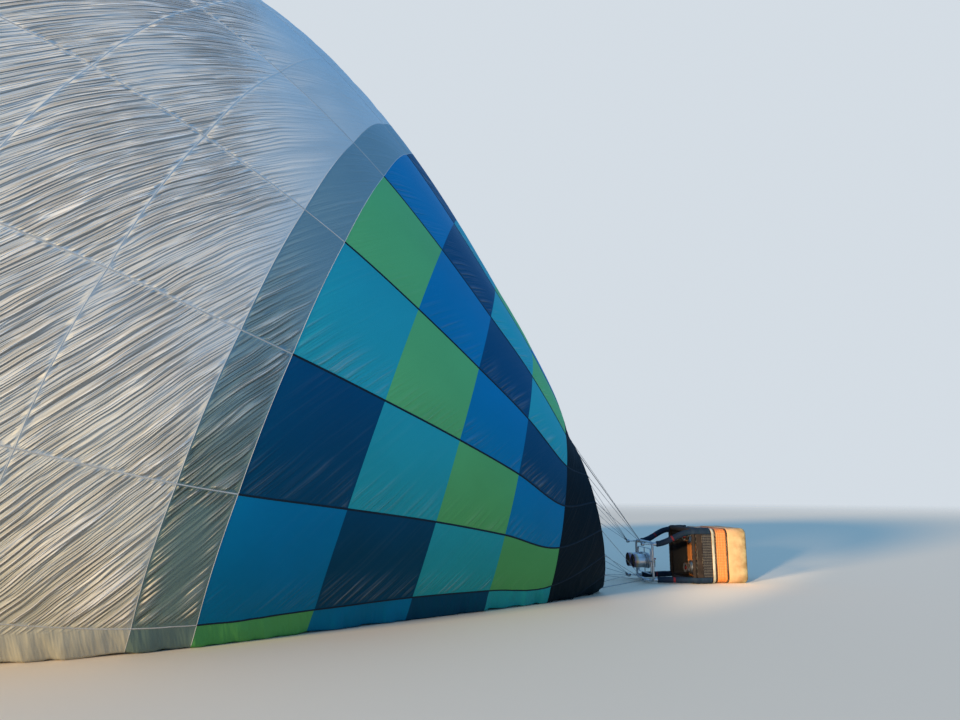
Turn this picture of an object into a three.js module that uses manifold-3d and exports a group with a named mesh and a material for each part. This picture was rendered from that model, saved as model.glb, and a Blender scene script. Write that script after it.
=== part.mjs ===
// Hot air balloon, cold inflated and lying on its side, with its basket on its side beside the mouth.
// Millimetres, +Z up. +X runs from the crown to the basket, and the seen side faces -Y.
import * as THREE from "three";
import { mergeVertices } from "three/addons/utils/BufferGeometryUtils.js";
import Module from "manifold-3d";

const wasm = await Module();
wasm.setup();

// Envelope
const GORES = 20;
const POINTS_PER_GORE = 2;
const FIRST_TAPE_ANGLE = 6.2; // degrees from straight down, towards -Y
const GORE_BULGE = 0.006; // how far the middle of a gore stands out, as a share of the radius
const FABRIC_THICKNESS = 10;
const HEM_THICKNESS = 22;
const HEM_LENGTH = 60;
const LOOPS_PER_SECTION = 2;
const SEAM_GAP = 0.3;

// Sections of the envelope from the mouth to the vent opening. Distance is back from the mouth, height
// is that of the section's centre, and tilt is how far the section's top leans towards the mouth.
const SECTIONS = [
  // distance, height, radius, tilt in degrees
  [280, 1370, 1420, -12.0],
  [990, 1260, 2000, 8.3],
  [1860, 1640, 2750, 13.1],
  [2800, 1990, 3480, 15.8],
  [3810, 2320, 4270, 17.7],
  [4840, 2640, 5040, 18.5],
  [5350, 2800, 5350, 19.2],
  [6550, 3200, 5910, 21.8],
  [7750, 3560, 6360, 24.2],
  [9150, 3930, 6750, 26.4],
  [10650, 4320, 7000, 27.6],
  [12200, 4740, 6980, 28.0],
  [13750, 5200, 6450, 28.0],
  [15150, 5650, 5450, 28.0],
  [16200, 6000, 4100, 28.0],
  [16850, 6250, 2450, 28.0],
];

// Rings of fabric between two sections, by their place in SECTIONS.
const FABRIC = [
  // name, first section, last section, colour
  ["mouth_band", 0, 1, 0x0a1016],
  ["checker_row_1", 1, 2, 0x2e8fae],
  ["checker_row_2", 2, 3, 0x0c3468],
  ["checker_row_3", 3, 4, 0x1257a8],
  ["checker_row_4", 4, 5, 0x5a9e50],
  ["grey_band", 5, 6, 0x9aa2ac],
  ["white_row_1", 6, 7, 0xe8e6e0],
  ["white_row_2", 7, 8, 0xe8e6e0],
  ["white_row_3", 8, 9, 0xe8e6e0],
  ["white_row_4", 9, 10, 0xe8e6e0],
  ["white_row_5", 10, 11, 0xe8e6e0],
  ["white_row_6", 11, 12, 0xe8e6e0],
  ["white_row_7", 12, 13, 0xe8e6e0],
  ["white_crown", 13, 15, 0xe8e6e0],
];

// Crown
const VENT_RADIUS = SECTIONS.at(-1)[2];
const VENT_TILT = SECTIONS.at(-1)[3];
const VENT_RISE = 380;
const VENT_MARGIN = 400;
const VENT_MARGIN_SLOPE = 0.46;
const VENT_DEPTH = 18; // from the plane of the opening to the edge of the dome
const VENT_STEPS = 5;
const CROWN_RING_RADIUS = 160;
const CROWN_RING_SECTION = 16;
const TAPE_WIDTH = 60;
const TAPE_THICKNESS = 8;
const TAPE_LIFT = 0.5;
const VENT_HEM_RADIUS = 2422.7;
const VENT_HEM_WIDTH = 70;
const VENT_HEM_TOP = 12;

// Basket, upright in its own frame: its floor at z = 0, its short side along x
const BASKET_PLACE = [3100, 900, 500];
const BASKET_HALF = [492, 592];
const BASKET_CORNER = 110;
const WICKER_THICKNESS = 34;
const BASKET_HEIGHT = 1100;
const RIM_PAD_RADIUS = 36;
const RIM_PAD_INSET = 29;
const RUNNER_HEIGHT = 36;
const RUNNER_WIDTH = 60;
const RUNNERS = [-330, 0, 330];
const FLOOR_THICKNESS = 18;
const FLOOR_INSETS = [46, 14];

// Rawhide skirt, drawn in under the floor along a quarter of an ellipse
const SKIRT_BOTTOM = 30;
const SKIRT_TOP = 405;
const SKIRT_THICKNESS = 8;
const FOOT_CURVE = [50, 64];
const FOOT_STEP = 22.5;
const SKIRT_LIP_ANGLE = -90;
const WALL_FOOT_ANGLE = -45;

// Bands round the wicker, each between two heights
const BANDS = [
  // name, bottom, top, thickness, colour
  ["dark_strip", 412, 446, 6, 0x3a2413],
  ["light_strip", 672, 716, 6, 0xd8cda8],
  ["suede_band", 905, 1020, 8, 0x2b1d16],
];

const CYLINDER_RADIUS = 140;
const CYLINDER_HEIGHT = 800;
const CYLINDER_PLACES = [
  // x, y
  [-300, -400],
  [-300, 400],
  [300, -400],
  [300, 400],
];

// Burner frame, in the basket's frame
const FRAME_CENTRE = [-105, 0, 1820];
const FRAME_HALF = [350, 455];
const FRAME_CORNER = 90;
const FRAME_TUBE = 20;
const SOCKET_RADIUS = 34;
const SOCKET_LENGTH = 80;
const UPRIGHT_RADIUS = 55;

// Tail of each padded cover, tied down over the rim and the corner of the wall
const TAIL_BOTTOM = 735;
const TAIL_THICKNESS = 36;
const TAIL_EDGE = 5;
const TAIL_ROUNDING = 22;
const TAIL_SHOULDER = 0.6;
const TAIL_SECTIONS = 8;
const TAIL_CLEARANCE = 0.65;
const TAIL_ANGLES = {
  // degrees round the corner, from the short axis to the long one
  lower: [34, 90],
  upper: [9, 81],
};

// Gimbal ring and burners
const RING_HALF = [231, 351];
const RING_CORNER = 50;
const RING_WALL = 12;
const RING_HEIGHT = 30;
const PIN_RADIUS = 9;
const BURNER_SPACING = 148;
const BURNER_RADIUS = 130;
const BURNER_PLATE = 12;
const BURNER_SIDES = 24;
const YOKE_HEIGHT = 40;
const CAN_LENGTH = 280;
const CAN_WALL = 5;
const COIL_RADIUS = 98;
const COIL_TUBE = 9;
const COIL_TURNS = 5;
const COIL_PITCH = 46;
const VALVE_BLOCK = [110, 100, 120];

const WIRE_RADIUS = 3.5;
const WIRE_CLAMP_RADIUS = 36;
const KARABINER_HALF = [22, 48];
const KARABINER_TUBE = 7;
const LUG_RADIUS = 14;
const LUG_LENGTH = 46;

const GAP = 0.3;

// One closed body from loops of points, each joined to the next. A loop of one point is a tip. The
// diagonals of the faces run the other way from the loop numbered turned on.
function skin(loops, closed = false, turned = loops.length) {
  const positions = [];
  const index = [];
  const starts = [];
  for (const loop of loops) {
    starts.push(positions.length / 3);
    for (const point of loop) positions.push(...point);
  }
  const count = closed ? loops.length : loops.length - 1;
  for (let a = 0; a < count; a++) {
    const b = (a + 1) % loops.length;
    const [sizeA, sizeB] = [loops[a].length, loops[b].length];
    for (let k = 0; k < Math.max(sizeA, sizeB); k++) {
      const [a0, a1] = [starts[a] + (k % sizeA), starts[a] + ((k + 1) % sizeA)];
      const [b0, b1] = [starts[b] + (k % sizeB), starts[b] + ((k + 1) % sizeB)];
      if (a >= turned) {
        index.push(a0, a1, b1, a0, b1, b0);
        continue;
      }
      if (sizeA > 1) index.push(a0, a1, b0);
      if (sizeB > 1) index.push(a1, b1, b0);
    }
  }
  const geometry = new THREE.BufferGeometry();
  geometry.setAttribute("position", new THREE.Float32BufferAttribute(positions, 3));
  geometry.setIndex(index);
  return geometry;
}

// Several closed geometries joined into one body.
function unite(geometries) {
  const solids = geometries.map((geometry) => {
    const bare = new THREE.BufferGeometry();
    bare.setAttribute("position", geometry.getAttribute("position"));
    bare.setIndex(geometry.getIndex());
    const merged = mergeVertices(bare, 1e-3);
    return new wasm.Manifold(
      new wasm.Mesh({
        numProp: 3,
        vertProperties: merged.attributes.position.array,
        triVerts: new Uint32Array(merged.index.array),
      }),
    );
  });
  const mesh = solids.reduce((a, b) => a.add(b)).getMesh();
  const geometry = new THREE.BufferGeometry();
  geometry.setAttribute("position", new THREE.BufferAttribute(mesh.vertProperties, 3));
  geometry.setIndex(new THREE.BufferAttribute(mesh.triVerts, 1));
  return geometry;
}

function named(name, geometry, color, roughness = 0.8, metalness = 0) {
  geometry.computeVertexNormals();
  const material = new THREE.MeshStandardMaterial({ color, roughness, metalness });
  const mesh = new THREE.Mesh(geometry, material);
  mesh.name = name;
  return mesh;
}

// Revolves a profile of [radius, height] points round Z.
function revolve(profile, steps, closed = false) {
  return skin(
    profile.map(([radius, z]) => {
      if (radius === 0) return [[0, 0, z]];
      return Array.from({ length: steps }, (_, k) => {
        const angle = (k / steps) * 2 * Math.PI;
        return [radius * Math.cos(angle), radius * Math.sin(angle), z];
      });
    }),
    closed,
  );
}

// A rounded rectangle grown by an offset, as one loop at a height.
function roundedLoop([halfX, halfY], corner, offset, z, steps) {
  const radius = corner + offset;
  const centres = [
    [halfX - corner, halfY - corner],
    [corner - halfX, halfY - corner],
    [corner - halfX, corner - halfY],
    [halfX - corner, corner - halfY],
  ];
  return centres.flatMap(([x, y], quarter) =>
    Array.from({ length: steps + 1 }, (_, k) => {
      const angle = ((quarter + k / steps) * Math.PI) / 2;
      return [x + radius * Math.cos(angle), y + radius * Math.sin(angle), z];
    }),
  );
}

// Sweeps a closed profile of [offset, height] points round a rounded rectangle.
function sweepRound(half, corner, profile, steps = 4) {
  return skin(
    profile.map(([offset, z]) => roundedLoop(half, corner, offset, z, steps)),
    true,
  );
}

function circleProfile(radius, z, sides) {
  return Array.from({ length: sides }, (_, k) => {
    const angle = (k / sides) * 2 * Math.PI;
    return [radius * Math.cos(angle), z + radius * Math.sin(angle)];
  });
}

function boxProfile(inner, outer, bottom, top) {
  return [
    [outer, bottom],
    [outer, top],
    [inner, top],
    [inner, bottom],
  ];
}

function tubeAlong(curve, radius, steps, sides = 10) {
  const section = new THREE.Shape().absarc(0, 0, radius, 0, 2 * Math.PI);
  const curveSegments = sides / 2;
  return new THREE.ExtrudeGeometry(section, { extrudePath: curve, steps, curveSegments });
}

function rod(from, to, radius, sides = 6) {
  const [a, b] = [new THREE.Vector3(...from), new THREE.Vector3(...to)];
  const along = b.clone().sub(a).normalize();
  const side = new THREE.Vector3(0, 1, 0).cross(along).normalize();
  const other = along.clone().cross(side);
  const loop = (centre) =>
    Array.from({ length: sides }, (_, k) => {
      const angle = (k / sides) * 2 * Math.PI;
      return centre
        .clone()
        .addScaledVector(side, radius * Math.cos(angle))
        .addScaledVector(other, radius * Math.sin(angle))
        .toArray();
    });
  return skin([[a.toArray()], loop(a), loop(b), [b.toArray()]]);
}

// How fast one of the envelope's measures changes with distance at a section.
function slopeAt(section, column) {
  const here = SECTIONS[section];
  const slopes = [SECTIONS[section - 1], SECTIONS[section + 1]]
    .filter((other) => other)
    .map((other) => ({
      slope: (other[column] - here[column]) / (other[0] - here[0]),
      reach: Math.abs(other[0] - here[0]),
    }));
  if (slopes.length === 1) return slopes[0].slope;
  const [before, after] = slopes;
  const total = before.reach + after.reach;
  return (before.slope * after.reach + after.slope * before.reach) / total;
}

// The envelope's measures at a place between two sections, on smooth curves through all sections.
function sectionAt(place) {
  const first = THREE.MathUtils.clamp(Math.floor(place), 0, SECTIONS.length - 2);
  const share = place - first;
  const [here, next] = [SECTIONS[first], SECTIONS[first + 1]];
  const step = next[0] - here[0];
  return here.map((value, column) => {
    const change = next[column] - value;
    const start = slopeAt(first, column) * step;
    const end = slopeAt(first + 1, column) * step;
    const [square, cube] = [3 * change - 2 * start - end, start + end - 2 * change];
    return value + share * (start + share * (square + share * cube));
  });
}

function roundPoint(place, degrees) {
  const [distance, height, radius, tilt] = sectionAt(place);
  const angle = THREE.MathUtils.degToRad(degrees);
  const lean = THREE.MathUtils.degToRad(tilt);
  const inGore = (((degrees - FIRST_TAPE_ANGLE) * GORES) / 360) * Math.PI;
  const bulged = radius * (1 + GORE_BULGE * Math.abs(Math.sin(inGore)));
  const up = -bulged * Math.cos(angle);
  return new THREE.Vector3(
    -distance + up * Math.sin(lean),
    -bulged * Math.sin(angle),
    height + up * Math.cos(lean),
  );
}

// A point of the fabric, at a depth below its outer face and in its section's plane. The underside
// lies flat on the ground.
function fabricPoint(place, degrees, depth) {
  const point = roundPoint(place, degrees);
  const [distance, height, , tilt] = sectionAt(place);
  const step = 0.02;
  const along = roundPoint(place + step, degrees).sub(roundPoint(place - step, degrees));
  const around = roundPoint(place, degrees + 1).sub(roundPoint(place, degrees - 1));
  const inward = along.cross(around).normalize();
  const toCentre = new THREE.Vector3(-distance, 0, height).sub(point).normalize();
  point.addScaledVector(toCentre, depth / inward.dot(toCentre));
  const z = Math.max(point.z, depth);
  return [-distance + (z - height) * Math.tan(THREE.MathUtils.degToRad(tilt)), point.y, z];
}

function fabricRing(places, thickness) {
  const angles = Array.from(
    { length: GORES * POINTS_PER_GORE },
    (_, k) => FIRST_TAPE_ANGLE + (k * 360) / (GORES * POINTS_PER_GORE),
  );
  const loops = (depth) =>
    places.map((place) => angles.map((angle) => fabricPoint(place, angle, depth)));
  return skin([...loops(0), ...loops(thickness).reverse()], true, places.length);
}

// How much of the step to the next section a length along the envelope is.
function shareOf(section, length) {
  const step = roundPoint(section + 1, 90).distanceTo(roundPoint(section, 90));
  return length / step;
}

function makeEnvelope() {
  const group = new THREE.Group();
  const hemShare = shareOf(0, HEM_LENGTH);
  for (const [name, first, last, color] of FABRIC) {
    const count = (last - first) * LOOPS_PER_SECTION + 1;
    const places = Array.from({ length: count }, (_, k) => first + k / LOOPS_PER_SECTION);
    places[0] += first === 0 ? hemShare : shareOf(first, SEAM_GAP / 2);
    places[count - 1] -= shareOf(last - 1, SEAM_GAP / 2);
    group.add(named(name, fabricRing(places, FABRIC_THICKNESS), color));
  }
  const hemEnd = hemShare - shareOf(0, SEAM_GAP);
  group.add(named("mouth_hem", fabricRing([0, hemEnd], HEM_THICKNESS), 0x11161c));
  return group;
}

// Radii of the rings of points on the vent panel's dome.
const VENT_RADII = Array.from({ length: VENT_STEPS + 1 }, (_, k) => (k / VENT_STEPS) * VENT_RADIUS);

// Height of the dome's faces over the plane of the opening.
function ventHeight(radius) {
  const dome = (r) => VENT_RISE * (1 - (r / VENT_RADIUS) ** 2) - VENT_DEPTH;
  const outer = VENT_RADII.find((r) => r >= radius && r > 0);
  const inner = outer - VENT_RADIUS / VENT_STEPS;
  return dome(inner) + ((radius - inner) / (outer - inner)) * (dome(outer) - dome(inner));
}

function makeVentPanel() {
  const edge = [VENT_RADIUS + VENT_MARGIN, -VENT_DEPTH - VENT_MARGIN * VENT_MARGIN_SLOPE];
  const over = [...VENT_RADII.map((radius) => [radius, ventHeight(radius)]), edge];
  const under = over.map(([radius, z]) => [radius, z - FABRIC_THICKNESS]);
  return revolve([...under, ...over.reverse()], GORES * POINTS_PER_GORE);
}

// One tape over the dome, as loops across it from the crown ring outwards.
function makeCrownTape() {
  const outside = VENT_HEM_RADIUS - VENT_HEM_WIDTH / 2;
  const between = VENT_RADII.filter((r) => r > CROWN_RING_RADIUS && r < outside);
  const loops = [CROWN_RING_RADIUS, ...between, outside].map((radius) => {
    const half = Math.min(TAPE_WIDTH / 2, radius * 0.14);
    const z = ventHeight(radius) + TAPE_LIFT;
    return [
      [radius, -half, z],
      [radius, half, z],
      [radius, half, z + TAPE_THICKNESS],
      [radius, -half, z + TAPE_THICKNESS],
    ];
  });
  const middle = (loop) => [[loop[0][0], 0, (loop[0][2] + loop[2][2]) / 2]];
  return skin([middle(loops[0]), ...loops, middle(loops.at(-1))]);
}

// The tapes that cross the vent opening, with the crown ring and the hem of the opening.
function makeCrownTapes() {
  const hemInside = VENT_HEM_RADIUS - VENT_HEM_WIDTH;
  const hem = [
    [hemInside, ventHeight(hemInside) + TAPE_LIFT],
    [VENT_HEM_RADIUS, ventHeight(VENT_HEM_RADIUS) + TAPE_LIFT],
    [VENT_HEM_RADIUS, VENT_HEM_TOP],
    [hemInside, ventHeight(hemInside) + TAPE_LIFT + VENT_HEM_TOP],
  ];
  const ringHeight = ventHeight(CROWN_RING_RADIUS) + TAPE_LIFT + CROWN_RING_SECTION;
  const ring = circleProfile(CROWN_RING_SECTION, ringHeight, 8).map(([offset, z]) => [
    CROWN_RING_RADIUS + offset,
    z,
  ]);
  const pieces = [revolve(hem, GORES * POINTS_PER_GORE, true), revolve(ring, GORES, true)];
  for (let k = 0; k < GORES; k++) {
    pieces.push(makeCrownTape().rotateZ((k / GORES) * 2 * Math.PI));
  }
  return unite(pieces);
}

function makeCrown() {
  const group = new THREE.Group();
  const [distance, height] = SECTIONS.at(-1);
  group.position.set(-distance, 0, height);
  group.rotation.y = THREE.MathUtils.degToRad(VENT_TILT - 90);
  const turned = new THREE.Group();
  turned.rotation.z = THREE.MathUtils.degToRad(FIRST_TAPE_ANGLE);
  turned.add(named("vent_panel", makeVentPanel(), 0xe8e6e0));
  turned.add(named("crown_tapes", makeCrownTapes(), 0xc9c7c2));
  return group.add(turned);
}

function makeFloor() {
  const [bottom, top] = [RUNNER_HEIGHT, RUNNER_HEIGHT + FLOOR_THICKNESS];
  const edge = (inset, z) => roundedLoop(BASKET_HALF, BASKET_CORNER, -inset, z, 4);
  const edges = [edge(FLOOR_INSETS[0], bottom), edge(FLOOR_INSETS[1], top)];
  const pieces = [skin([[[0, 0, bottom]], ...edges, [[0, 0, top]]])];
  const length = 2 * (BASKET_HALF[1] - BASKET_CORNER);
  for (const x of RUNNERS) {
    const runner = new THREE.BoxGeometry(RUNNER_WIDTH, length, RUNNER_HEIGHT + 2);
    pieces.push(runner.translate(x, 0, RUNNER_HEIGHT / 2 + 1));
  }
  return unite(pieces);
}

function makeCylinder() {
  const foot = RUNNER_HEIGHT + FLOOR_THICKNESS + GAP;
  const top = foot + CYLINDER_HEIGHT;
  return revolve(
    [
      [0, foot],
      [110, foot],
      [110, foot + 40],
      [CYLINDER_RADIUS, foot + 70],
      [CYLINDER_RADIUS, top - 130],
      [110, top - 80],
      [95, top - 70],
      [95, top],
      [0, top],
    ],
    16,
  );
}

// Offsets and heights up the curved foot, that far inside the skirt's outer face
function footArc(inset, firstAngle) {
  const [reach, rise] = FOOT_CURVE;
  const points = [];
  for (let angle = firstAngle; angle <= 0; angle += FOOT_STEP) {
    const turn = THREE.MathUtils.degToRad(angle);
    points.push([
      SKIRT_THICKNESS - reach + (reach - inset) * Math.cos(turn),
      SKIRT_BOTTOM + rise + (rise - inset) * Math.sin(turn),
    ]);
  }
  return points;
}

function makeWall() {
  const outside = footArc(SKIRT_THICKNESS, WALL_FOOT_ANGLE);
  const top = BASKET_HEIGHT - 2 * RIM_PAD_RADIUS;
  const inside = -WICKER_THICKNESS;
  const profile = [...outside, [0, top], [inside, top], [inside, outside[0][1]]];
  return sweepRound(BASKET_HALF, BASKET_CORNER, profile);
}

function makeSkirt() {
  const lining = footArc(SKIRT_THICKNESS - GAP, SKIRT_LIP_ANGLE).reverse();
  const top = [
    [SKIRT_THICKNESS, SKIRT_TOP],
    [GAP, SKIRT_TOP],
  ];
  const face = footArc(0, SKIRT_LIP_ANGLE);
  return sweepRound(BASKET_HALF, BASKET_CORNER, [...face, ...top, ...lining]);
}

function makeBasket() {
  const group = new THREE.Group();
  group.add(named("wicker_wall", makeWall(), 0xd07a28));
  group.add(named("rawhide_skirt", makeSkirt(), 0xb9935a));
  for (const [name, bottom, top, thickness, color] of BANDS) {
    const profile = boxProfile(GAP, thickness, bottom, top);
    group.add(named(name, sweepRound(BASKET_HALF, BASKET_CORNER, profile), color));
  }
  const pad = circleProfile(RIM_PAD_RADIUS - GAP, BASKET_HEIGHT - RIM_PAD_RADIUS, 8).map(
    ([offset, z]) => [offset - RIM_PAD_INSET, z],
  );
  group.add(named("rim_pad", sweepRound(BASKET_HALF, BASKET_CORNER, pad), 0x241813));
  group.add(named("basket_floor", makeFloor(), 0x8a6a42));
  CYLINDER_PLACES.forEach(([x, y], k) => {
    const cylinder = named("fuel_cylinder_" + (k + 1), makeCylinder(), 0xb8bcc0, 0.35, 0.8);
    cylinder.position.set(x, y, 0);
    group.add(cylinder);
  });
  return group;
}

const CORNERS = [
  // name, x sign, y sign
  ["lower_near", -1, -1],
  ["lower_far", -1, 1],
  ["upper_near", 1, -1],
  ["upper_far", 1, 1],
];

function frameCorner(signX, signY) {
  const inset = 0.3 * FRAME_CORNER;
  return [
    FRAME_CENTRE[0] + signX * (FRAME_HALF[0] - inset),
    FRAME_CENTRE[1] + signY * (FRAME_HALF[1] - inset),
    FRAME_CENTRE[2],
  ];
}

function makeLoadFrame() {
  const tube = sweepRound(FRAME_HALF, FRAME_CORNER, circleProfile(FRAME_TUBE, 0, 8));
  tube.translate(...FRAME_CENTRE);
  const pieces = [tube];
  for (const [, signX, signY] of CORNERS) {
    const [x, y, z] = frameCorner(signX, signY);
    pieces.push(rod([x, y, z - SOCKET_LENGTH], [x, y, z], SOCKET_RADIUS, 12));
    pieces.push(rod([x, y, z], [x, y, z + LUG_LENGTH], LUG_RADIUS, 8));
  }
  return unite(pieces);
}

function makeUpright(signX, signY) {
  const foot = [
    signX * (BASKET_HALF[0] - BASKET_CORNER * 0.3 - RIM_PAD_INSET),
    signY * (BASKET_HALF[1] - BASKET_CORNER * 0.3 - RIM_PAD_INSET),
    BASKET_HEIGHT + GAP,
  ];
  const head = frameCorner(signX, signY);
  head[2] -= SOCKET_LENGTH + GAP;
  const pull = 220;
  const curve = new THREE.CubicBezierCurve3(
    new THREE.Vector3(...foot),
    new THREE.Vector3(foot[0], foot[1], foot[2] + pull),
    new THREE.Vector3(head[0], head[1], head[2] - pull),
    new THREE.Vector3(...head),
  );
  return tubeAlong(curve, UPRIGHT_RADIUS, 8);
}

function makeTail(name, signX, signY) {
  const [first, last] = TAIL_ANGLES[name.split("_")[0]];
  const top = BASKET_HEIGHT;
  const sections = Array.from({ length: TAIL_SECTIONS + 1 }, (_, k) => {
    const across = (2 * k) / TAIL_SECTIONS - 1;
    const swell = TAIL_EDGE + (TAIL_THICKNESS - TAIL_EDGE) * Math.sqrt(1 - across ** 2);
    const profile = [
      [0, TAIL_BOTTOM],
      [swell * TAIL_SHOULDER, TAIL_BOTTOM],
      [swell, TAIL_BOTTOM + TAIL_ROUNDING],
      [swell, top - TAIL_ROUNDING],
      [swell * TAIL_SHOULDER, top],
      [0, top],
    ];
    const angle = THREE.MathUtils.degToRad(first + ((last - first) * k) / TAIL_SECTIONS);
    return profile.map(([offset, z]) => {
      const radius = BASKET_CORNER + SKIRT_THICKNESS + TAIL_CLEARANCE + offset;
      return [
        signX * (BASKET_HALF[0] - BASKET_CORNER + radius * Math.cos(angle)),
        signY * (BASKET_HALF[1] - BASKET_CORNER + radius * Math.sin(angle)),
        z,
      ];
    });
  });
  const centre = (loop) => [[0, 1, 2].map((axis) => (loop[0][axis] + loop[3][axis]) / 2)];
  const loops = [centre(sections[0]), ...sections, centre(sections.at(-1))];
  return skin(signX * signY > 0 ? loops.reverse() : loops);
}

function makeGimbalRing() {
  const wall = RING_WALL / 2;
  const ring = sweepRound(
    RING_HALF,
    RING_CORNER,
    boxProfile(-wall, wall, -RING_HEIGHT / 2, RING_HEIGHT / 2),
  );
  const [start, end] = [RING_HALF[1], FRAME_HALF[1] - FRAME_TUBE - GAP];
  return unite([
    ring,
    rod([0.01, start, 0], [0.01, end, 0.01], PIN_RADIUS, 8),
    rod([0.01, -start, 0], [0.01, -end, 0.01], PIN_RADIUS, 8),
  ]);
}

const YOKE_HALF = [BURNER_RADIUS + GAP, BURNER_SPACING + BURNER_RADIUS + GAP];

function makeYoke() {
  const bar = boxProfile(0, RING_WALL, -YOKE_HEIGHT / 2, YOKE_HEIGHT / 2);
  const yoke = sweepRound(YOKE_HALF, BURNER_RADIUS, bar, BURNER_SIDES / 4);
  const [start, end] = [YOKE_HALF[0] + 4, RING_HALF[0] - RING_WALL / 2 - GAP];
  return unite([
    yoke,
    rod([start, 0, 0], [end, 0, 0], PIN_RADIUS, 8),
    rod([-start, 0, 0], [-end, 0, 0], PIN_RADIUS, 8),
  ]);
}

function makeBurnerBody() {
  const plate = revolve(
    [
      [0, -BURNER_PLATE / 2],
      [BURNER_RADIUS, -BURNER_PLATE / 2],
      [BURNER_RADIUS, BURNER_PLATE / 2],
      [0, BURNER_PLATE / 2],
    ],
    BURNER_SIDES,
  );
  const [sizeX, sizeY, sizeZ] = VALVE_BLOCK;
  const block = new THREE.BoxGeometry(sizeX, sizeY, sizeZ);
  block.translate(0, 0, -sizeZ / 2);
  return unite([plate, block]);
}

class CoilCurve extends THREE.Curve {
  getPoint(share, target = new THREE.Vector3()) {
    const angle = share * COIL_TURNS * 2 * Math.PI;
    const foot = BURNER_PLATE / 2 + COIL_TUBE * Math.cos(Math.PI / 6) + GAP;
    const z = foot + share * COIL_TURNS * COIL_PITCH;
    return target.set(COIL_RADIUS * Math.cos(angle), COIL_RADIUS * Math.sin(angle), z);
  }
}

function makeCan() {
  const foot = BURNER_PLATE / 2 + GAP;
  return revolve(
    [
      [BURNER_RADIUS, foot],
      [BURNER_RADIUS, foot + CAN_LENGTH],
      [BURNER_RADIUS - CAN_WALL, foot + CAN_LENGTH],
      [BURNER_RADIUS - CAN_WALL, foot],
    ],
    BURNER_SIDES,
    true,
  );
}

function makeBurners() {
  const group = new THREE.Group();
  group.position.set(...FRAME_CENTRE);
  group.add(named("gimbal_ring", makeGimbalRing(), 0x8e9296, 0.4, 0.9));
  group.add(named("burner_yoke", makeYoke(), 0x9a9da0, 0.4, 0.9));
  for (const [k, sign] of [
    [1, -1],
    [2, 1],
  ]) {
    const unit = new THREE.Group();
    unit.position.y = sign * BURNER_SPACING;
    unit.add(named("burner_body_" + k, makeBurnerBody(), 0x70757a, 0.4, 0.9));
    unit.add(
      named(
        "burner_coil_" + k,
        tubeAlong(new CoilCurve(), COIL_TUBE, 12 * COIL_TURNS, 6),
        0xb9b4a8,
        0.3,
        1,
      ),
    );
    unit.add(named("burner_can_" + k, makeCan(), 0xa9adb1, 0.35, 1));
    group.add(unit);
  }
  return group;
}

// A fan of five wires from one corner of the burner frame to the mouth, in the balloon's own frame.
function makeWires(signX, signY, firstTape) {
  const [cornerX, cornerY, cornerZ] = frameCorner(signX, signY);
  const lug = [
    BASKET_PLACE[0] - cornerZ - LUG_LENGTH - GAP,
    BASKET_PLACE[1] + cornerY,
    BASKET_PLACE[2] + cornerX,
  ];
  const [halfY, halfX] = KARABINER_HALF;
  const karabiner = sweepRound(
    [halfX, halfY],
    halfY - 4,
    circleProfile(KARABINER_TUBE, 0, 6),
  );
  karabiner.translate(lug[0] - halfX - KARABINER_TUBE, lug[1], lug[2]);
  const tie = [lug[0] - 2 * halfX - WIRE_CLAMP_RADIUS, lug[1], lug[2]];
  const clamp = new THREE.SphereGeometry(WIRE_CLAMP_RADIUS, 10, 7);
  const pieces = [karabiner, clamp.translate(...tie)];
  const mouthTilt = THREE.MathUtils.degToRad(SECTIONS[0][3]);
  const outOfMouth = new THREE.Vector3(Math.cos(mouthTilt), 0, -Math.sin(mouthTilt));
  for (let k = 0; k < GORES / 4; k++) {
    const angle = FIRST_TAPE_ANGLE + ((firstTape + k) * 360) / GORES;
    const end = new THREE.Vector3(...fabricPoint(0, angle, HEM_THICKNESS / 2));
    const across = end.clone().sub(new THREE.Vector3(...tie)).normalize().dot(outOfMouth);
    end.addScaledVector(outOfMouth, GAP + WIRE_RADIUS * Math.sqrt(1 - across ** 2));
    pieces.push(rod(tie, end.toArray(), WIRE_RADIUS));
  }
  return unite(pieces);
}

const balloon = new THREE.Group();
balloon.add(makeEnvelope());
balloon.add(makeCrown());

const FIRST_TAPES = [0, 15, 5, 10];
CORNERS.forEach(([name, signX, signY], k) => {
  const wires = makeWires(signX, signY, FIRST_TAPES[k]);
  balloon.add(named("flying_wires_" + name, wires, 0x6e7276, 0.4, 0.9));
});

const basket = makeBasket();
basket.add(named("load_frame", makeLoadFrame(), 0x8e9296, 0.4, 0.9));
for (const [name, signX, signY] of CORNERS) {
  basket.add(named("upright_" + name, makeUpright(signX, signY), 0x18202c));
  basket.add(named("upright_tail_" + name, makeTail(name, signX, signY), 0x18202c));
}
basket.add(makeBurners());
basket.position.set(...BASKET_PLACE);
basket.rotation.y = -Math.PI / 2;
balloon.add(basket);

// The origin is on the ground below the middle of the whole.
const reach = new THREE.Box3().setFromObject(balloon, true);
const middle = reach.getCenter(new THREE.Vector3());
balloon.position.set(-middle.x, -middle.y, -reach.min.z);

export default new THREE.Group().add(balloon);
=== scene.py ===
# %% [markdown]
# This lesson dresses a hot air balloon that lies on its side, cold inflated, with its basket tipped
# over in front of the mouth. The construction comes as a fixed frame of plain solids. Each step looks
# at one piece or finish of the real balloon, says how it could be made, and why one way was chosen.

# %% Load the frame
import math

import bpy
import numpy as np
from mathutils import Matrix, Vector


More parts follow.
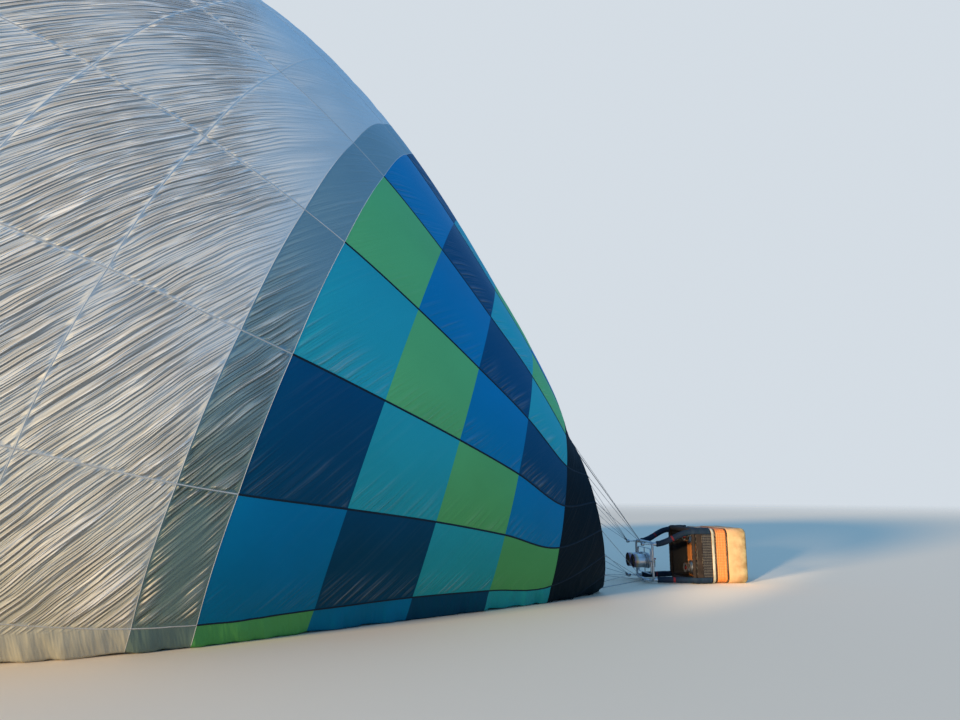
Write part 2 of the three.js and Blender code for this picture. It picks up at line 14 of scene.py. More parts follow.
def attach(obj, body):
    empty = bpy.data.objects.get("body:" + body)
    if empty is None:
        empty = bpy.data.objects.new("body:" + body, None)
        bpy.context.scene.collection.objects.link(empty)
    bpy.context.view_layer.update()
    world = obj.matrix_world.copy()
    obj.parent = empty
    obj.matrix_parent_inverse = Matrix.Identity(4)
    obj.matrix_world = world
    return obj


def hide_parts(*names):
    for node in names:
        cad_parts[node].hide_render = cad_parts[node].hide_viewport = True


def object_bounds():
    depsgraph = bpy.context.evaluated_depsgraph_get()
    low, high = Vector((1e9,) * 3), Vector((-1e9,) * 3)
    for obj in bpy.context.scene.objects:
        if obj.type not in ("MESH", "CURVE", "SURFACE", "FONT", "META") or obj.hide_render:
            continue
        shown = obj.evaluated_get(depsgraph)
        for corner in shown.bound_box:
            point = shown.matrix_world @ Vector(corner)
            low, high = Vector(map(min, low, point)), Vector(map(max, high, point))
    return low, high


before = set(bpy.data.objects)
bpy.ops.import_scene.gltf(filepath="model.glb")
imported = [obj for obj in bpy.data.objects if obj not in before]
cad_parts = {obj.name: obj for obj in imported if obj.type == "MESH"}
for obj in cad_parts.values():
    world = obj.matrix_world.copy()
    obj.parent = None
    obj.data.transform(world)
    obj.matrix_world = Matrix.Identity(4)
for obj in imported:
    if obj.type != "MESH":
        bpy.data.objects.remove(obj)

cad_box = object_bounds()

# %% [markdown]
# The camera stands at eye height, a little behind the mouth, and looks slightly up along the flank. A
# wide lens makes the near cloth huge and the basket small, so the lens and the distance have to be
# right together: a longer lens from further off would flatten the cone.

# %% Camera
CAMERA_PLACE = (3.952, -12.815, 1.70)
CAMERA_HEADING = 6.9  # degrees to the right of +Y
CAMERA_PITCH = 10.36
LENS, SENSOR_WIDTH = 26.8, 36  # millimetres
FARTHEST_SEEN = 400

camera_data = bpy.data.cameras.new("camera")
camera_data.lens = LENS
camera_data.sensor_width = SENSOR_WIDTH
camera_data.clip_end = FARTHEST_SEEN
camera = bpy.data.objects.new("camera", camera_data)
camera.location = CAMERA_PLACE
camera.rotation_euler = (math.radians(90 + CAMERA_PITCH), 0, math.radians(-CAMERA_HEADING))
bpy.context.scene.collection.objects.link(camera)
bpy.context.scene.camera = camera
print("camera:", CAMERA_PLACE, "lens", LENS)

# %% [markdown]
# Node trees are long when they are written out link by link. These small helpers add a node, set
# its plain values and feed its inputs in one call, so that each material below reads as a recipe.

# %% Node helpers
def feed(tree, socket, source):
    """Links a socket to another node's output, or sets its plain value."""
    if isinstance(source, bpy.types.NodeSocket):
        tree.links.new(source, socket)
    else:
        socket.default_value = source


def node(tree, kind, inputs=None, **settings):
    """Adds a node, with settings such as operation, and feeds its inputs by name or number."""
    made = tree.nodes.new("ShaderNode" + kind)
    for key, value in settings.items():
        setattr(made, key, value)
    for key, source in (inputs or {}).items():
        feed(tree, made.inputs[key], source)
    return made


def math_node(tree, operation, a, b=None, c=None):
    sources = {k: v for k, v in enumerate((a, b, c)) if v is not None}
    return node(tree, "Math", sources, operation=operation).outputs[0]


def new_group(name, inputs, outputs):
    """An empty node group whose sockets are named with their type and first value."""
    tree = bpy.data.node_groups.new(name, "ShaderNodeTree")
    for label, kind, value in inputs:
        socket = tree.interface.new_socket(label, in_out="INPUT", socket_type="NodeSocket" + kind)
        if value is not None:
            socket.default_value = value
    for label, kind in outputs:
        tree.interface.new_socket(label, in_out="OUTPUT", socket_type="NodeSocket" + kind)
    return tree, tree.nodes.new("NodeGroupInput").outputs, tree.nodes.new("NodeGroupOutput").inputs


def use_group(tree, group, inputs):
    made = tree.nodes.new("ShaderNodeGroup")
    made.node_tree = group
    for key, source in inputs.items():
        feed(tree, made.inputs[key], source)
    return made.outputs


def new_material(name):
    """A material and its tree, which is empty."""
    material = bpy.data.materials.new(name)
    material.use_nodes = True
    material.node_tree.nodes.clear()
    return material, material.node_tree


def end_material(material, shader):
    feed(material.node_tree, node(material.node_tree, "OutputMaterial").inputs["Surface"], shader)
    return material


def times(tree, first, *others):
    """The product of two or more numbers."""
    for other in others:
        first = math_node(tree, "MULTIPLY", first, other)
    return first


def times_and_add(tree, value, factor, addend):
    return math_node(tree, "MULTIPLY_ADD", value, factor, addend)


def minus(tree, a, b):
    return math_node(tree, "SUBTRACT", a, b)


def stretch(tree, vector, by):
    return node(tree, "VectorMath", {0: vector, 1: by}, operation="MULTIPLY").outputs[0]


def scaled(tree, colour, by):
    return node(tree, "VectorMath", {0: colour, "Scale": by}, operation="SCALE").outputs[0]


def noise(tree, place, scale, detail):
    return node(tree, "TexNoise", {"Vector": place, "Scale": scale, "Detail": detail}).outputs["Fac"]


def object_place(tree):
    return node(tree, "TexCoord").outputs["Object"]


def remap(tree, value, low, high, to_low=0.0, to_high=1.0, smooth=False):
    """Moves a value from one range to another and clamps it there."""
    kind = "SMOOTHSTEP" if smooth else "LINEAR"
    ranges = {"Value": value, 1: low, 2: high, 3: to_low, 4: to_high}
    return node(tree, "MapRange", ranges, interpolation_type=kind).outputs[0]


def mix(tree, share, first, second):
    """A colour between two others, each a socket or three plain values."""
    pair = [c if isinstance(c, bpy.types.NodeSocket) else (*c, 1) for c in (first, second)]
    return node(tree, "Mix", {0: share, 6: pair[0], 7: pair[1]}, data_type="RGBA").outputs[2]


def colour_ramp(tree, value, first, *others):
    """A colour that runs through stops, each a position and three plain values."""
    made = node(tree, "ValToRGB", {0: value})
    stops = made.color_ramp.elements
    for stop, (position, colour) in zip(stops, (first, others[-1])):
        stop.position, stop.color = position, (*colour, 1)
    for position, colour in others[:-1]:
        stops.new(position).color = (*colour, 1)
    return made.outputs[0]


def bump_from(tree, height, strength=1.0, distance=1.0, normal=None):
    inputs = {"Height": height, "Strength": strength, "Distance": distance}
    if normal is not None:
        inputs["Normal"] = normal
    return node(tree, "Bump", inputs).outputs[0]


def coat(tree, tint, roughness, normal, specular=0.5, metallic=0.0):
    """The one surface shader that every finish here ends in."""
    inputs = {"Base Color": tint, "Roughness": roughness, "Normal": normal}
    inputs.update({"Specular IOR Level": specular, "Metallic": metallic})
    return node(tree, "BsdfPrincipled", inputs).outputs[0]


print("helpers for nodes, groups and materials")

# %% [markdown]
# The balloon lies in a plain studio. The floor is one pale disc that fades to the backdrop well away
# from the balloon, so that no hard horizon cuts the view.

# %% Floor
FLOOR_RADIUS = 130
FADE_START, FADE_END = 34, 100
FLOOR_COLOUR = (0.86, 0.72, 0.56, 1)  # warm, so that it looks plain and pale under the cool light

bpy.ops.object.select_all(action="DESELECT")
bpy.ops.mesh.primitive_circle_add(vertices=96, radius=FLOOR_RADIUS, fill_type="NGON")
floor = bpy.context.object
floor.name = "studio_floor"
floor_material, tree = new_material("studio_floor")
place = object_place(tree)
radius = node(tree, "VectorMath", {0: place}, operation="LENGTH").outputs["Value"]
fade = remap(tree, radius, FADE_START, FADE_END, smooth=True)
matt = node(tree, "BsdfDiffuse", {"Color": FLOOR_COLOUR})
clear = node(tree, "BsdfTransparent")
mixed = node(tree, "MixShader", {0: fade, 1: matt.outputs[0], 2: clear.outputs[0]})
floor.data.materials.append(end_material(floor_material, mixed.outputs[0]))
print("floor:", FLOOR_RADIUS, "m, fading from", FADE_START, "m")

# %% [markdown]
# A balloon is filled in low, warm light from one side, with cool blue light from everywhere else. One
# soft sun lamp and a cool fill give the same two tints. The lamp rakes along the cloth, because only
# light from the side shows wrinkles. A lamp at the camera would hide them. The envelope shades the
# basket from this lamp, so a narrow spot gives the basket the same low light.

# %% Light
BACKDROP = (0.66, 0.72, 0.78, 1)
COOL_FILL = (0.205, 0.45, 0.82, 1)
SUN_FROM = (-0.78, -0.61, 0.24)
SUN_STRENGTH = 4.2
SUN_TINT = (1.0, 0.74, 0.40)
SUN_SPREAD = 9  # degrees, for soft shadows
SPOT_PLACE = (1.0, -12.0, 2.6)
SPOT_AIM = (10.3, 0.4, 0.5)
SPOT_POWER = 20000
SPOT_TINT = (1.0, 0.78, 0.50)
SPOT_ANGLE = 9
SPOT_BLEND, SPOT_SIZE = 0.8, 0.4

world = bpy.data.worlds.new("backdrop")
world.use_nodes = True
tree = world.node_tree
tree.nodes.clear()
seen = node(tree, "LightPath").outputs["Is Camera Ray"]
fill = node(tree, "Background", {"Color": COOL_FILL})
backdrop = node(tree, "Background", {"Color": BACKDROP})
either = node(tree, "MixShader", {0: seen, 1: fill.outputs[0], 2: backdrop.outputs[0]})
feed(tree, node(tree, "OutputWorld").inputs["Surface"], either.outputs[0])
bpy.context.scene.world = world

lamp = bpy.data.lights.new("low_sun", "SUN")
lamp.energy = SUN_STRENGTH
lamp.color = SUN_TINT
lamp.angle = math.radians(SUN_SPREAD)
sun = bpy.data.objects.new("low_sun", lamp)
sun.rotation_euler = Vector(SUN_FROM).to_track_quat("Z", "Y").to_euler()
bpy.context.scene.collection.objects.link(sun)

spot = bpy.data.lights.new("basket_spot", "SPOT")
spot.energy = SPOT_POWER
spot.color = SPOT_TINT
spot.spot_size = math.radians(SPOT_ANGLE)
spot.spot_blend = SPOT_BLEND
spot.shadow_soft_size = SPOT_SIZE
basket_light = bpy.data.objects.new("basket_spot", spot)
basket_light.location = SPOT_PLACE
basket_light.rotation_euler = (Vector(SPOT_PLACE) - Vector(SPOT_AIM)).to_track_quat("Z", "Y").to_euler()
bpy.context.scene.collection.objects.link(basket_light)
bpy.context.scene.view_settings.view_transform = "Standard"
print("light: a low sun lamp, a spot for the basket and a cool backdrop")

# %% [markdown]
# The envelope is a stack of rings of cloth, each sewn to the next along a section. Every section is
# a tilted circle, so the whole shape comes from one short table and smooth curves through it. A cast
# or a sculpted mesh could look alike, but only a formula gives each sewing line its exact place.

# %% Shape of the envelope
SECTIONS = np.array([
    # distance back from the mouth, height of the centre and radius in metres, tilt in degrees
    (0.28, 1.37, 1.42, -12.0),
    (0.99, 1.26, 2.00, 8.3),
    (1.86, 1.64, 2.75, 13.1),
    (2.80, 1.99, 3.48, 15.8),
    (3.81, 2.32, 4.27, 17.7),
    (4.84, 2.64, 5.04, 18.5),
    (5.35, 2.80, 5.35, 19.2),
    (6.55, 3.20, 5.91, 21.8),
    (7.75, 3.56, 6.36, 24.2),
    (9.15, 3.93, 6.75, 26.4),
    (10.65, 4.32, 7.00, 27.6),
    (12.20, 4.74, 6.98, 28.0),
    (13.75, 5.20, 6.45, 28.0),
    (15.15, 5.65, 5.45, 28.0),
    (16.20, 6.00, 4.10, 28.0),
    (16.85, 6.25, 2.45, 28.0),
])
GORES = 20
FIRST_TAPE_ANGLE = 6.2  # degrees from straight down, towards the seen side
GORE_BULGE = 0.006  # how far the middle of a gore stands out, as a share of the radius
BASKET_FOOT = 3.1  # metres in front of the mouth
MOUTH_X = cad_box[1].x - BASKET_FOOT
GROUND_CLEAR = 0.006
NUDGE = (0.01, 0.5)  # in sections and in degrees, to find which way the cloth faces

reaches = np.diff(SECTIONS[:, 0])
spans = np.diff(SECTIONS, axis=0) / reaches[:, None]
before, after = reaches[:-1, None], reaches[1:, None]
section_slopes = np.vstack([
    spans[:1],
    (spans[:-1] * after + spans[1:] * before) / (before + after),
    spans[-1:],
])


def section_at(place):
    """Distance, height, radius and tilt at places counted in sections, on smooth curves."""
    first = np.clip(np.floor(place).astype(int), 0, len(SECTIONS) - 2)
    share = (place - first)[..., None]
    step = reaches[first][..., None]
    change = SECTIONS[first + 1] - SECTIONS[first]
    start, end = section_slopes[first] * step, section_slopes[first + 1] * step
    square, cube = 3 * change - 2 * start - end, start + end - 2 * change
    measures = SECTIONS[first] + share * (start + share * (square + share * cube))
    return np.moveaxis(measures, -1, 0)


def base_points(place, angle):
    """Points of the smooth envelope. What would be below the ground lies flat on it."""
    distance, height, radius, tilt = section_at(place)
    turn, lean = np.radians(angle), np.radians(tilt)
    bulge = GORE_BULGE * np.abs(np.sin(np.radians((angle - FIRST_TAPE_ANGLE) * GORES / 2)))
    bulged = radius * (1 + bulge)
    z = np.maximum(height - bulged * np.cos(turn) * np.cos(lean), GROUND_CLEAR)
    x = MOUTH_X - distance + (z - height) * np.tan(lean)
    return np.stack([x, -bulged * np.sin(turn), z], axis=-1)


def outward(place, angle):
    """Unit normals of the smooth envelope."""
    along = base_points(place + NUDGE[0], angle) - base_points(place - NUDGE[0], angle)
    around = base_points(place, angle + NUDGE[1]) - base_points(place, angle - NUDGE[1])
    normal = np.cross(around, along)
    return normal / np.linalg.norm(normal, axis=-1, keepdims=True)


print("envelope:", len(SECTIONS), "sections, largest radius", SECTIONS[:, 2].max(), "m")

# %% [markdown]
# Cold cloth is slack on the bias. It gathers in long parallel ridges that lean from the crown up
# towards the mouth, broken at every tape and seam where the cloth is held. A cloth simulation of a
# 14 m envelope is too slow, and noise that is stretched along the ridges looks the same. The wide
# folds are shape, made here, and the fine ones are left to the material.

# %% Folds
RIDGE_DIRECTION = (0.875, -0.485)  # around and towards the crown
NOISE_CELLS = 256
SEEDS = {
    "folds": 11, "slack": 23, "vent": 41, "rods": 61, "leather": 71, "rim": 83, "covers": 91, "tails": 97,
}
RIDGE_DRIFT, DRIFT_REACH = 0.35, 2.4  # how far ridges wander, and over what distance


def lattice_noise(across, along, seed):
    """Smooth random values from -1 to 1, one per unit square."""
    table = np.random.default_rng(seed).uniform(-1, 1, (NOISE_CELLS + 1, NOISE_CELLS + 1))
    i, j = np.floor(across).astype(int), np.floor(along).astype(int)
    f, g = across - i, along - j
    f, g = f * f * (3 - 2 * f), g * g * (3 - 2 * g)
    i, j = i % NOISE_CELLS, j % NOISE_CELLS
    low = table[i, j] * (1 - f) + table[i + 1, j] * f
    high = table[i, j + 1] * (1 - f) + table[i + 1, j + 1] * f
    return low * (1 - g) + high * g


def smooth_step(value, low, high):
    share = np.clip((value - low) / (high - low), 0, 1)
    return share * share * (3 - 2 * share)


def ridge_height(around, along, length, width, seed):
    """Heights of ridges of about that length and width, in a slowly wandering direction."""
    lengthwise = around * RIDGE_DIRECTION[0] + along * RIDGE_DIRECTION[1]
    crosswise = along * RIDGE_DIRECTION[0] - around * RIDGE_DIRECTION[1]
    crosswise = crosswise + RIDGE_DRIFT * lattice_noise(around / DRIFT_REACH, along / DRIFT_REACH, seed + 1)
    return lattice_noise(lengthwise / length, crosswise / width, seed)


print("folds: ridges lean", round(math.degrees(math.asin(-RIDGE_DIRECTION[1]))), "degrees")

# %% [markdown]
# A piece of the finished object needs the same few things each time: a body to ride on, the plain
# solids that it stands for, and a material. One helper says them all, and another turns a grid of
# points into a sheet, because cloth is one skin without thickness.

# %% Piece helpers
def finish_piece(piece, body, replaces=(), materials=()):
    """Names what a finished piece rides on, is made of and stands for."""
    for material in materials:
        piece.data.materials.append(material)
    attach(piece, body)
    if replaces:
        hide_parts(*replaces)
    return piece


def mesh_piece(name, points, faces):
    mesh = bpy.data.meshes.new(name)
    mesh.from_pydata(points.reshape(-1, 3).tolist(), [], faces.tolist())
    mesh.polygons.foreach_set("use_smooth", [True] * len(mesh.polygons))
    piece = bpy.data.objects.new(name, mesh)
    bpy.context.scene.collection.objects.link(piece)
    return piece


def grid_faces(rows, columns, closed=False, ring=False):
    """Quads between the points of a grid, numbered row by row. Closed joins the last column to the
    first, and ring joins the last row to the first."""
    i, j = np.meshgrid(
        np.arange(rows if ring else rows - 1),
        np.arange(columns if closed else columns - 1),
        indexing="ij",
    )
    right, up = (j + 1) % columns, (i + 1) % rows
    quads = np.stack([i * columns + j, i * columns + right, up * columns + right, up * columns + j], -1)
    return quads.reshape(-1, 4)


def turns_of(count):
    """That many even steps of one whole turn, in radians."""
    return np.arange(count) * 2 * np.pi / count


def add_corner_map(piece, name, corners):
    """A UV map from values per face and corner, shaped (faces, 4, 2)."""
    layer = piece.data.uv_layers.new(name=name)
    layer.data.foreach_set("uv", corners.astype(np.float32).ravel())


print("helpers for pieces and sheets")

# %% [markdown]
# Balloon cloth is thin coated nylon, woven with a check of thicker threads against tearing. Up close
# the check shows, further off only the ridges do. Both belong in groups that every cloth colour
# shares. The ridges read the cloth's own map in metres, and fade towards tapes and seams.

# %% Ridges and ripstop as groups
RIPSTOP_PITCH, RIPSTOP_THREAD = 0.008, 0.0008
RIDGE_LEAN = math.atan2(-RIDGE_DIRECTION[1], RIDGE_DIRECTION[0])
WANDERINGS = [(0.45, 0.14), (2.0, 0.035)]  # how often per metre, and how far, ridges leave their line
MIDDLE_CREST = 0.36  # puts the middle of the ridges at no height, so that a mask leaves no step
CREST_FROM, CREST_TO, CREST_POWER = 0.36, 0.72, 1.6  # what of the noise stands up, and how sharply
RIDGE_LAYERS = [
    # length, width, share of the height
    (1.3, 0.043, 1.0),
    (0.7, 0.027, 0.5),
]

ridges, inside, outside = new_group(
    "cloth_ridges",
    [("Cloth", "Vector", None), ("Height", "Float", 0.02)],
    [("Height", "Float"), ("Crests", "Float"), ("Patches", "Float")],
)
leaning = {"Vector": inside["Cloth"], "Angle": RIDGE_LEAN}
turned = node(ridges, "VectorRotate", leaning, rotation_type="Z_AXIS").outputs[0]
parts = node(ridges, "SeparateXYZ", {0: turned}).outputs
wandered = parts["Y"]
for scale, reach in WANDERINGS:
    wander = noise(ridges, inside["Cloth"], scale, 1.0)
    wandered = times_and_add(ridges, wander, reach, wandered)
crests = None
for length, width, share in RIDGE_LAYERS:
    lengthwise = math_node(ridges, "DIVIDE", parts["X"], length)
    crosswise = math_node(ridges, "DIVIDE", wandered, width)
    stretched = node(ridges, "CombineXYZ", {0: lengthwise, 1: crosswise, 2: share}).outputs[0]
    folds = noise(ridges, stretched, 1.0, 1.0)
    rise = remap(ridges, folds, CREST_FROM, CREST_TO)
    crest = times(ridges, math_node(ridges, "POWER", rise, CREST_POWER), share)
    crests = crest if crests is None else math_node(ridges, "ADD", crests, crest)
patches = noise(ridges, inside["Cloth"], 0.8, 1.5)
levelled = minus(ridges, crests, MIDDLE_CREST)
feed(ridges, outside["Height"], times(ridges, levelled, inside["Height"]))
feed(ridges, outside["Crests"], crests)
feed(ridges, outside["Patches"], patches)

ripstop, inside, outside = new_group("ripstop_check", [("Cloth", "Vector", None)], [("Threads", "Float")])
parts = node(ripstop, "SeparateXYZ", {0: inside["Cloth"]}).outputs
ways = [math_node(ripstop, "PINGPONG", parts[k], RIPSTOP_PITCH) for k in ("X", "Y")]
threads = [math_node(ripstop, "COMPARE", way, 0.0, RIPSTOP_THREAD) for way in ways]
feed(ripstop, outside["Threads"], math_node(ripstop, "MAXIMUM", *threads))
print("groups: cloth_ridges, ripstop_check with threads every", 2 * RIPSTOP_PITCH, "m")

# %% State of the cloth as a group
TIGHT_FROM, TIGHT_TO = 2.4, 3.3  # along the envelope, at the height of its middle
TIGHT_MIDDLE, TIGHT_SLOPE, TIGHT_LEAST = 3.5, 0.22, 0.07
FULL_FROM, FULL_TO, FULL_LEAST = -3.8, 0.2, 0.3  # the cloth fills out towards the crown
# The cloth is tinted darker and yellower towards the ground: fully below the first height, not at all above
# the second.
LOW_TINT_FOOT, LOW_TINT_TOP = 0.4, 3.0
LOW_TINT_COLOUR = (0.70, 0.66, 0.52)
FOOT_FROM, FOOT_TO = 1.6, 2.1  # heights between which cloth that leans over the ground turns plain
GATHER_TOP = 0.40  # below this the cloth lies slack on the ground in upright gathers
GATHER_HEIGHT = 0.022

state, inside, outside = new_group(
    "cloth_state",
    [("Place", "Vector", None), ("Low Tint", "Float", 0.3)],
    [("Slack", "Float"), ("Low Tinting", "Color"), ("Gathers", "Float"), ("Lying", "Float"), ("Foot", "Float")],
)
parts = node(state, "SeparateXYZ", {0: inside["Place"]}).outputs
above = minus(state, parts["Z"], TIGHT_MIDDLE)
towards_mouth = times_and_add(state, above, TIGHT_SLOPE, parts["X"])
slack_here = remap(state, towards_mouth, TIGHT_FROM, TIGHT_TO, 1.0, TIGHT_LEAST, smooth=True)
full_here = remap(state, parts["X"], FULL_FROM, FULL_TO, FULL_LEAST, 1.0, smooth=True)
feed(state, outside["Slack"], times(state, slack_here, full_here))
uneven = noise(state, inside["Place"], 0.9, 4.0)
# Darker and yellower towards the ground, unevenly.
near_ground = remap(state, parts["Z"], LOW_TINT_FOOT, LOW_TINT_TOP, 1.0, 0.0)
low_share = times(state, near_ground, times_and_add(state, uneven, 0.7, 0.65))
amount = times(state, low_share, inside["Low Tint"])
low_tinted = mix(state, amount, (1, 1, 1), LOW_TINT_COLOUR)
feed(state, outside["Low Tinting"], low_tinted)
upright = stretch(state, inside["Place"], (12.0, 2.5, 0.8))
gathered = noise(state, upright, 1.0, 2.0)
lying = remap(state, parts["Z"], GATHER_TOP - 0.1, GATHER_TOP, 1.0, 0.0)
gathers = times(state, minus(state, gathered, 0.5), lying)
feed(state, outside["Gathers"], times(state, gathers, GATHER_HEIGHT))
feed(state, outside["Lying"], lying)
feed(state, outside["Foot"], remap(state, parts["Z"], FOOT_FROM, FOOT_TO, 1.0, 0.0))
print("group: cloth_state, with gathers below", GATHER_TOP, "m and soil up to", LOW_TINT_TOP, "m")

# %% [markdown]
# A cloth colour is the nylon itself plus the light that comes through it from the other side, so the
# surface shader is mixed with a translucent one. The colour drifts a little with dust and handling.
# The crests of the ridges carry a painted highlight, and the hollows between them painted shade.
# The map called seams says how far the nearest tape and the nearest seam are, and where in its panel
# a point is, because the panels hang in ridges near their lower edge and are drawn tight elsewhere.

# %% Cloth materials
# Painted highlight: the pale tint that the crests of the ridges are painted towards.
CREST_HIGHLIGHT_TINT = (0.95, 0.93, 0.87)
SEAM_FLAT = 0.05  # metres beside a seam without ridges
PATCH_RANGE = (0.38, 0.60, 0.3, 1.0)  # noise that parts smooth patches from ridged ones
PANEL_EDGE = (0.03, 0.45)  # shares of a panel's width, from its slack edge to where it is tight
PLAIN_FROM, PLAIN_TO, PLAIN_SHARE = 0.07, 0.20, 0.85
THREAD_HEIGHT, THREAD_TINT = 0.0002, 0.05
# The hollow beside a crest is painted darker, as painted shade.
CREST_REACH = 1.4  # how much of a ridge counts as its crest, against the hollow beside it


def cloth_material(
    name, colour, ridge_height, tight=None, crest_highlight=0.3, hollow_shade=0.0, low_tint=0.4, plain_foot=False,
    specular=0.3, roughness=0.42, through=0.08,
):
    """Nylon of one colour, in ridges.

    Tight is the share of the ridges lost away from the lower edge of a panel. Crest highlight is how
    strongly the crests are painted pale, a painted highlight, and hollow shade is how much darker the
    cloth is painted between them, as painted shade.
    """
    material, tree = new_material(name)
    cloth = node(tree, "UVMap", uv_map="cloth").outputs[0]
    seams = node(tree, "SeparateXYZ", {0: node(tree, "UVMap", uv_map="seams").outputs[0]}).outputs
    place = object_place(tree)
    ridge = use_group(tree, ridges, {"Cloth": cloth, "Height": ridge_height})
    hung = use_group(tree, state, {"Place": place, "Low Tint": low_tint})
    seam_mask = remap(tree, seams["X"], 0.0, SEAM_FLAT, smooth=True)
    patch = remap(tree, ridge["Patches"], *PATCH_RANGE)
    loose = hung["Slack"]
    if tight is not None:
        loose = remap(tree, seams["Y"], *PANEL_EDGE, 1.0, 1.0 - tight, smooth=True)
    if plain_foot:
        inner = remap(tree, seams["X"], PLAIN_FROM, PLAIN_TO)
        plain = times(tree, inner, hung["Foot"], PLAIN_SHARE)
        loose = times(tree, loose, minus(tree, 1.0, plain))
    mask = times(tree, seam_mask, patch, loose)
    mask = times(tree, mask, minus(tree, 1.0, hung["Lying"]))
    threads = use_group(tree, ripstop, {"Cloth": cloth})["Threads"]
    woven = times_and_add(tree, threads, THREAD_HEIGHT, hung["Gathers"])
    height = times_and_add(tree, ridge["Height"], mask, woven)
    bump = bump_from(tree, height)
    dust = noise(tree, cloth, 0.7, 5.0)
    drift = remap(tree, dust, 0.3, 0.7, 0.92, 1.05)
    check = times_and_add(tree, threads, THREAD_TINT, 0.97)
    clean = scaled(tree, colour, times(tree, drift, check))
    low_tinted = stretch(tree, clean, hung["Low Tinting"])
    # Painted shade: the cloth is darkened in the hollows between the crests.
    lift = times(tree, ridge["Crests"], CREST_REACH)
    hollow = math_node(tree, "MAXIMUM", minus(tree, 1.0, lift), 0.0)
    shade = times(tree, hollow, mask, -hollow_shade)
    valleys = scaled(tree, low_tinted, math_node(tree, "ADD", shade, 1.0))
    # Painted highlight: the crests are painted pale.
    crest = times(tree, math_node(tree, "POWER", ridge["Crests"], 2.0), mask)
    crest = math_node(tree, "MINIMUM", times(tree, crest, crest_highlight), 1.0)
    tint = mix(tree, crest, valleys, CREST_HIGHLIGHT_TINT)
    worn = remap(tree, dust, 0.3, 0.7, roughness - 0.06, roughness + 0.1)
    surface = coat(tree, tint, worn, bump, specular)
    glow = node(tree, "BsdfTranslucent", {"Color": tint, "Normal": bump})
    mixed = node(tree, "MixShader", {0: through, 1: surface, 2: glow.outputs[0]})
    return end_material(material, mixed.outputs[0])


CHECKER_SHINE = 0.05
CHECKERS = [
    # name, colour, height of the ridges, share lost where the panel is tight, painted highlight on crests,
    # tint towards the ground
    ("blue_cloth", (0.001, 0.24, 0.50), 0.020, 0.96, 0.06, 0.8),
    ("navy_cloth", (0.001, 0.085, 0.20), 0.040, 0.96, 0.16, 1.2),
    ("teal_cloth", (0.025, 0.44, 0.52), 0.030, 0.95, 0.16, 0.8),
    ("green_cloth", (0.14, 0.56, 0.21), 0.012, 0.96, 0.05, 1.2),
]

WHITE_CLOTH = cloth_material(
    "white_cloth", (0.71, 0.72, 0.69), 0.104,
    crest_highlight=1.6, hollow_shade=0.12, low_tint=0.85, specular=0.35, roughness=0.38,
)
GREY_CLOTH = cloth_material(
    "grey_cloth", (0.19, 0.32, 0.36), 0.100,
    crest_highlight=0.65, hollow_shade=0.3, low_tint=2.0, plain_foot=True, specular=0.5, roughness=0.34,
)
CHECKER_CLOTHS = [
    cloth_material(name, colour, height, tight, crest_highlight, low_tint=low_tint, specular=CHECKER_SHINE)
    for name, colour, height, tight, crest_highlight, low_tint in CHECKERS
]
MOUTH_CLOTH = cloth_material(
    "mouth_cloth", (0.002, 0.012, 0.020), 0.012,
    tight=0.5, crest_highlight=0.01, specular=0.08, roughness=0.7, through=0.05,
)
print("cloths:", 3 + len(CHECKER_CLOTHS))

# %% [markdown]
# The envelope is cut and sewn from gores, long strips that run from the mouth to the crown. It is
# made here as quarters of each zone, five gores wide, with its grid lines on the tapes and seams. The
# panels of the chequered zone step through four colours, one panel on for each gore.

# %% Envelope
SEEN_CELL = 0.046  # metres, on the side that the camera sees
HIDDEN_CELL = 0.1
QUARTER_GORES = 5
GORE_ANGLE = 360 / GORES
FOLD_HEIGHT = 0.007
FOLD_LENGTH, FOLD_WIDTH = 1.5, 0.15
SKIRT_TOP = 0.34  # cloth below this hangs slack in upright folds
SKIRT_FOLD = 0.028
SKIRT_GATHER = (0.11, 9)  # metres along X and degrees round, for one of those folds
GORE_OFFSET = 7.3  # metres on the cloth map between one gore and the next
TAPE_HOLDS, SEAM_HOLDS = 0.22, 0.25  # metres of cloth that a tape and a seam keep flat
HEM_ALLOWANCE = 1.01  # what the folds take up
ZONES = {
    # name: first section, last section, slot, fold share, nodes
    "mouth": (0, 1, "black_fabric", 0.9, ["mouth_band"]),
    "checker": (1, 5, "checker_fabric", 0.25, [f"checker_row_{k}" for k in (1, 2, 3, 4)]),
    "grey": (5, 6, "grey_fabric", 0.55, ["grey_band"]),
    "white": (6, 15, "white_fabric", 1.0, [f"white_row_{k}" for k in range(1, 8)] + ["white_crown"]),
}
ZONE_CLOTHS = {
    "mouth": [MOUTH_CLOTH], "checker": CHECKER_CLOTHS, "grey": [GREY_CLOTH], "white": [WHITE_CLOTH],
}
QUARTERS = {
    # name: first tape, whether the camera sees it
    "lower_near": (0, True),
    "upper_near": (5, True),
    "upper_far": (10, False),
    "lower_far": (15, False),
}


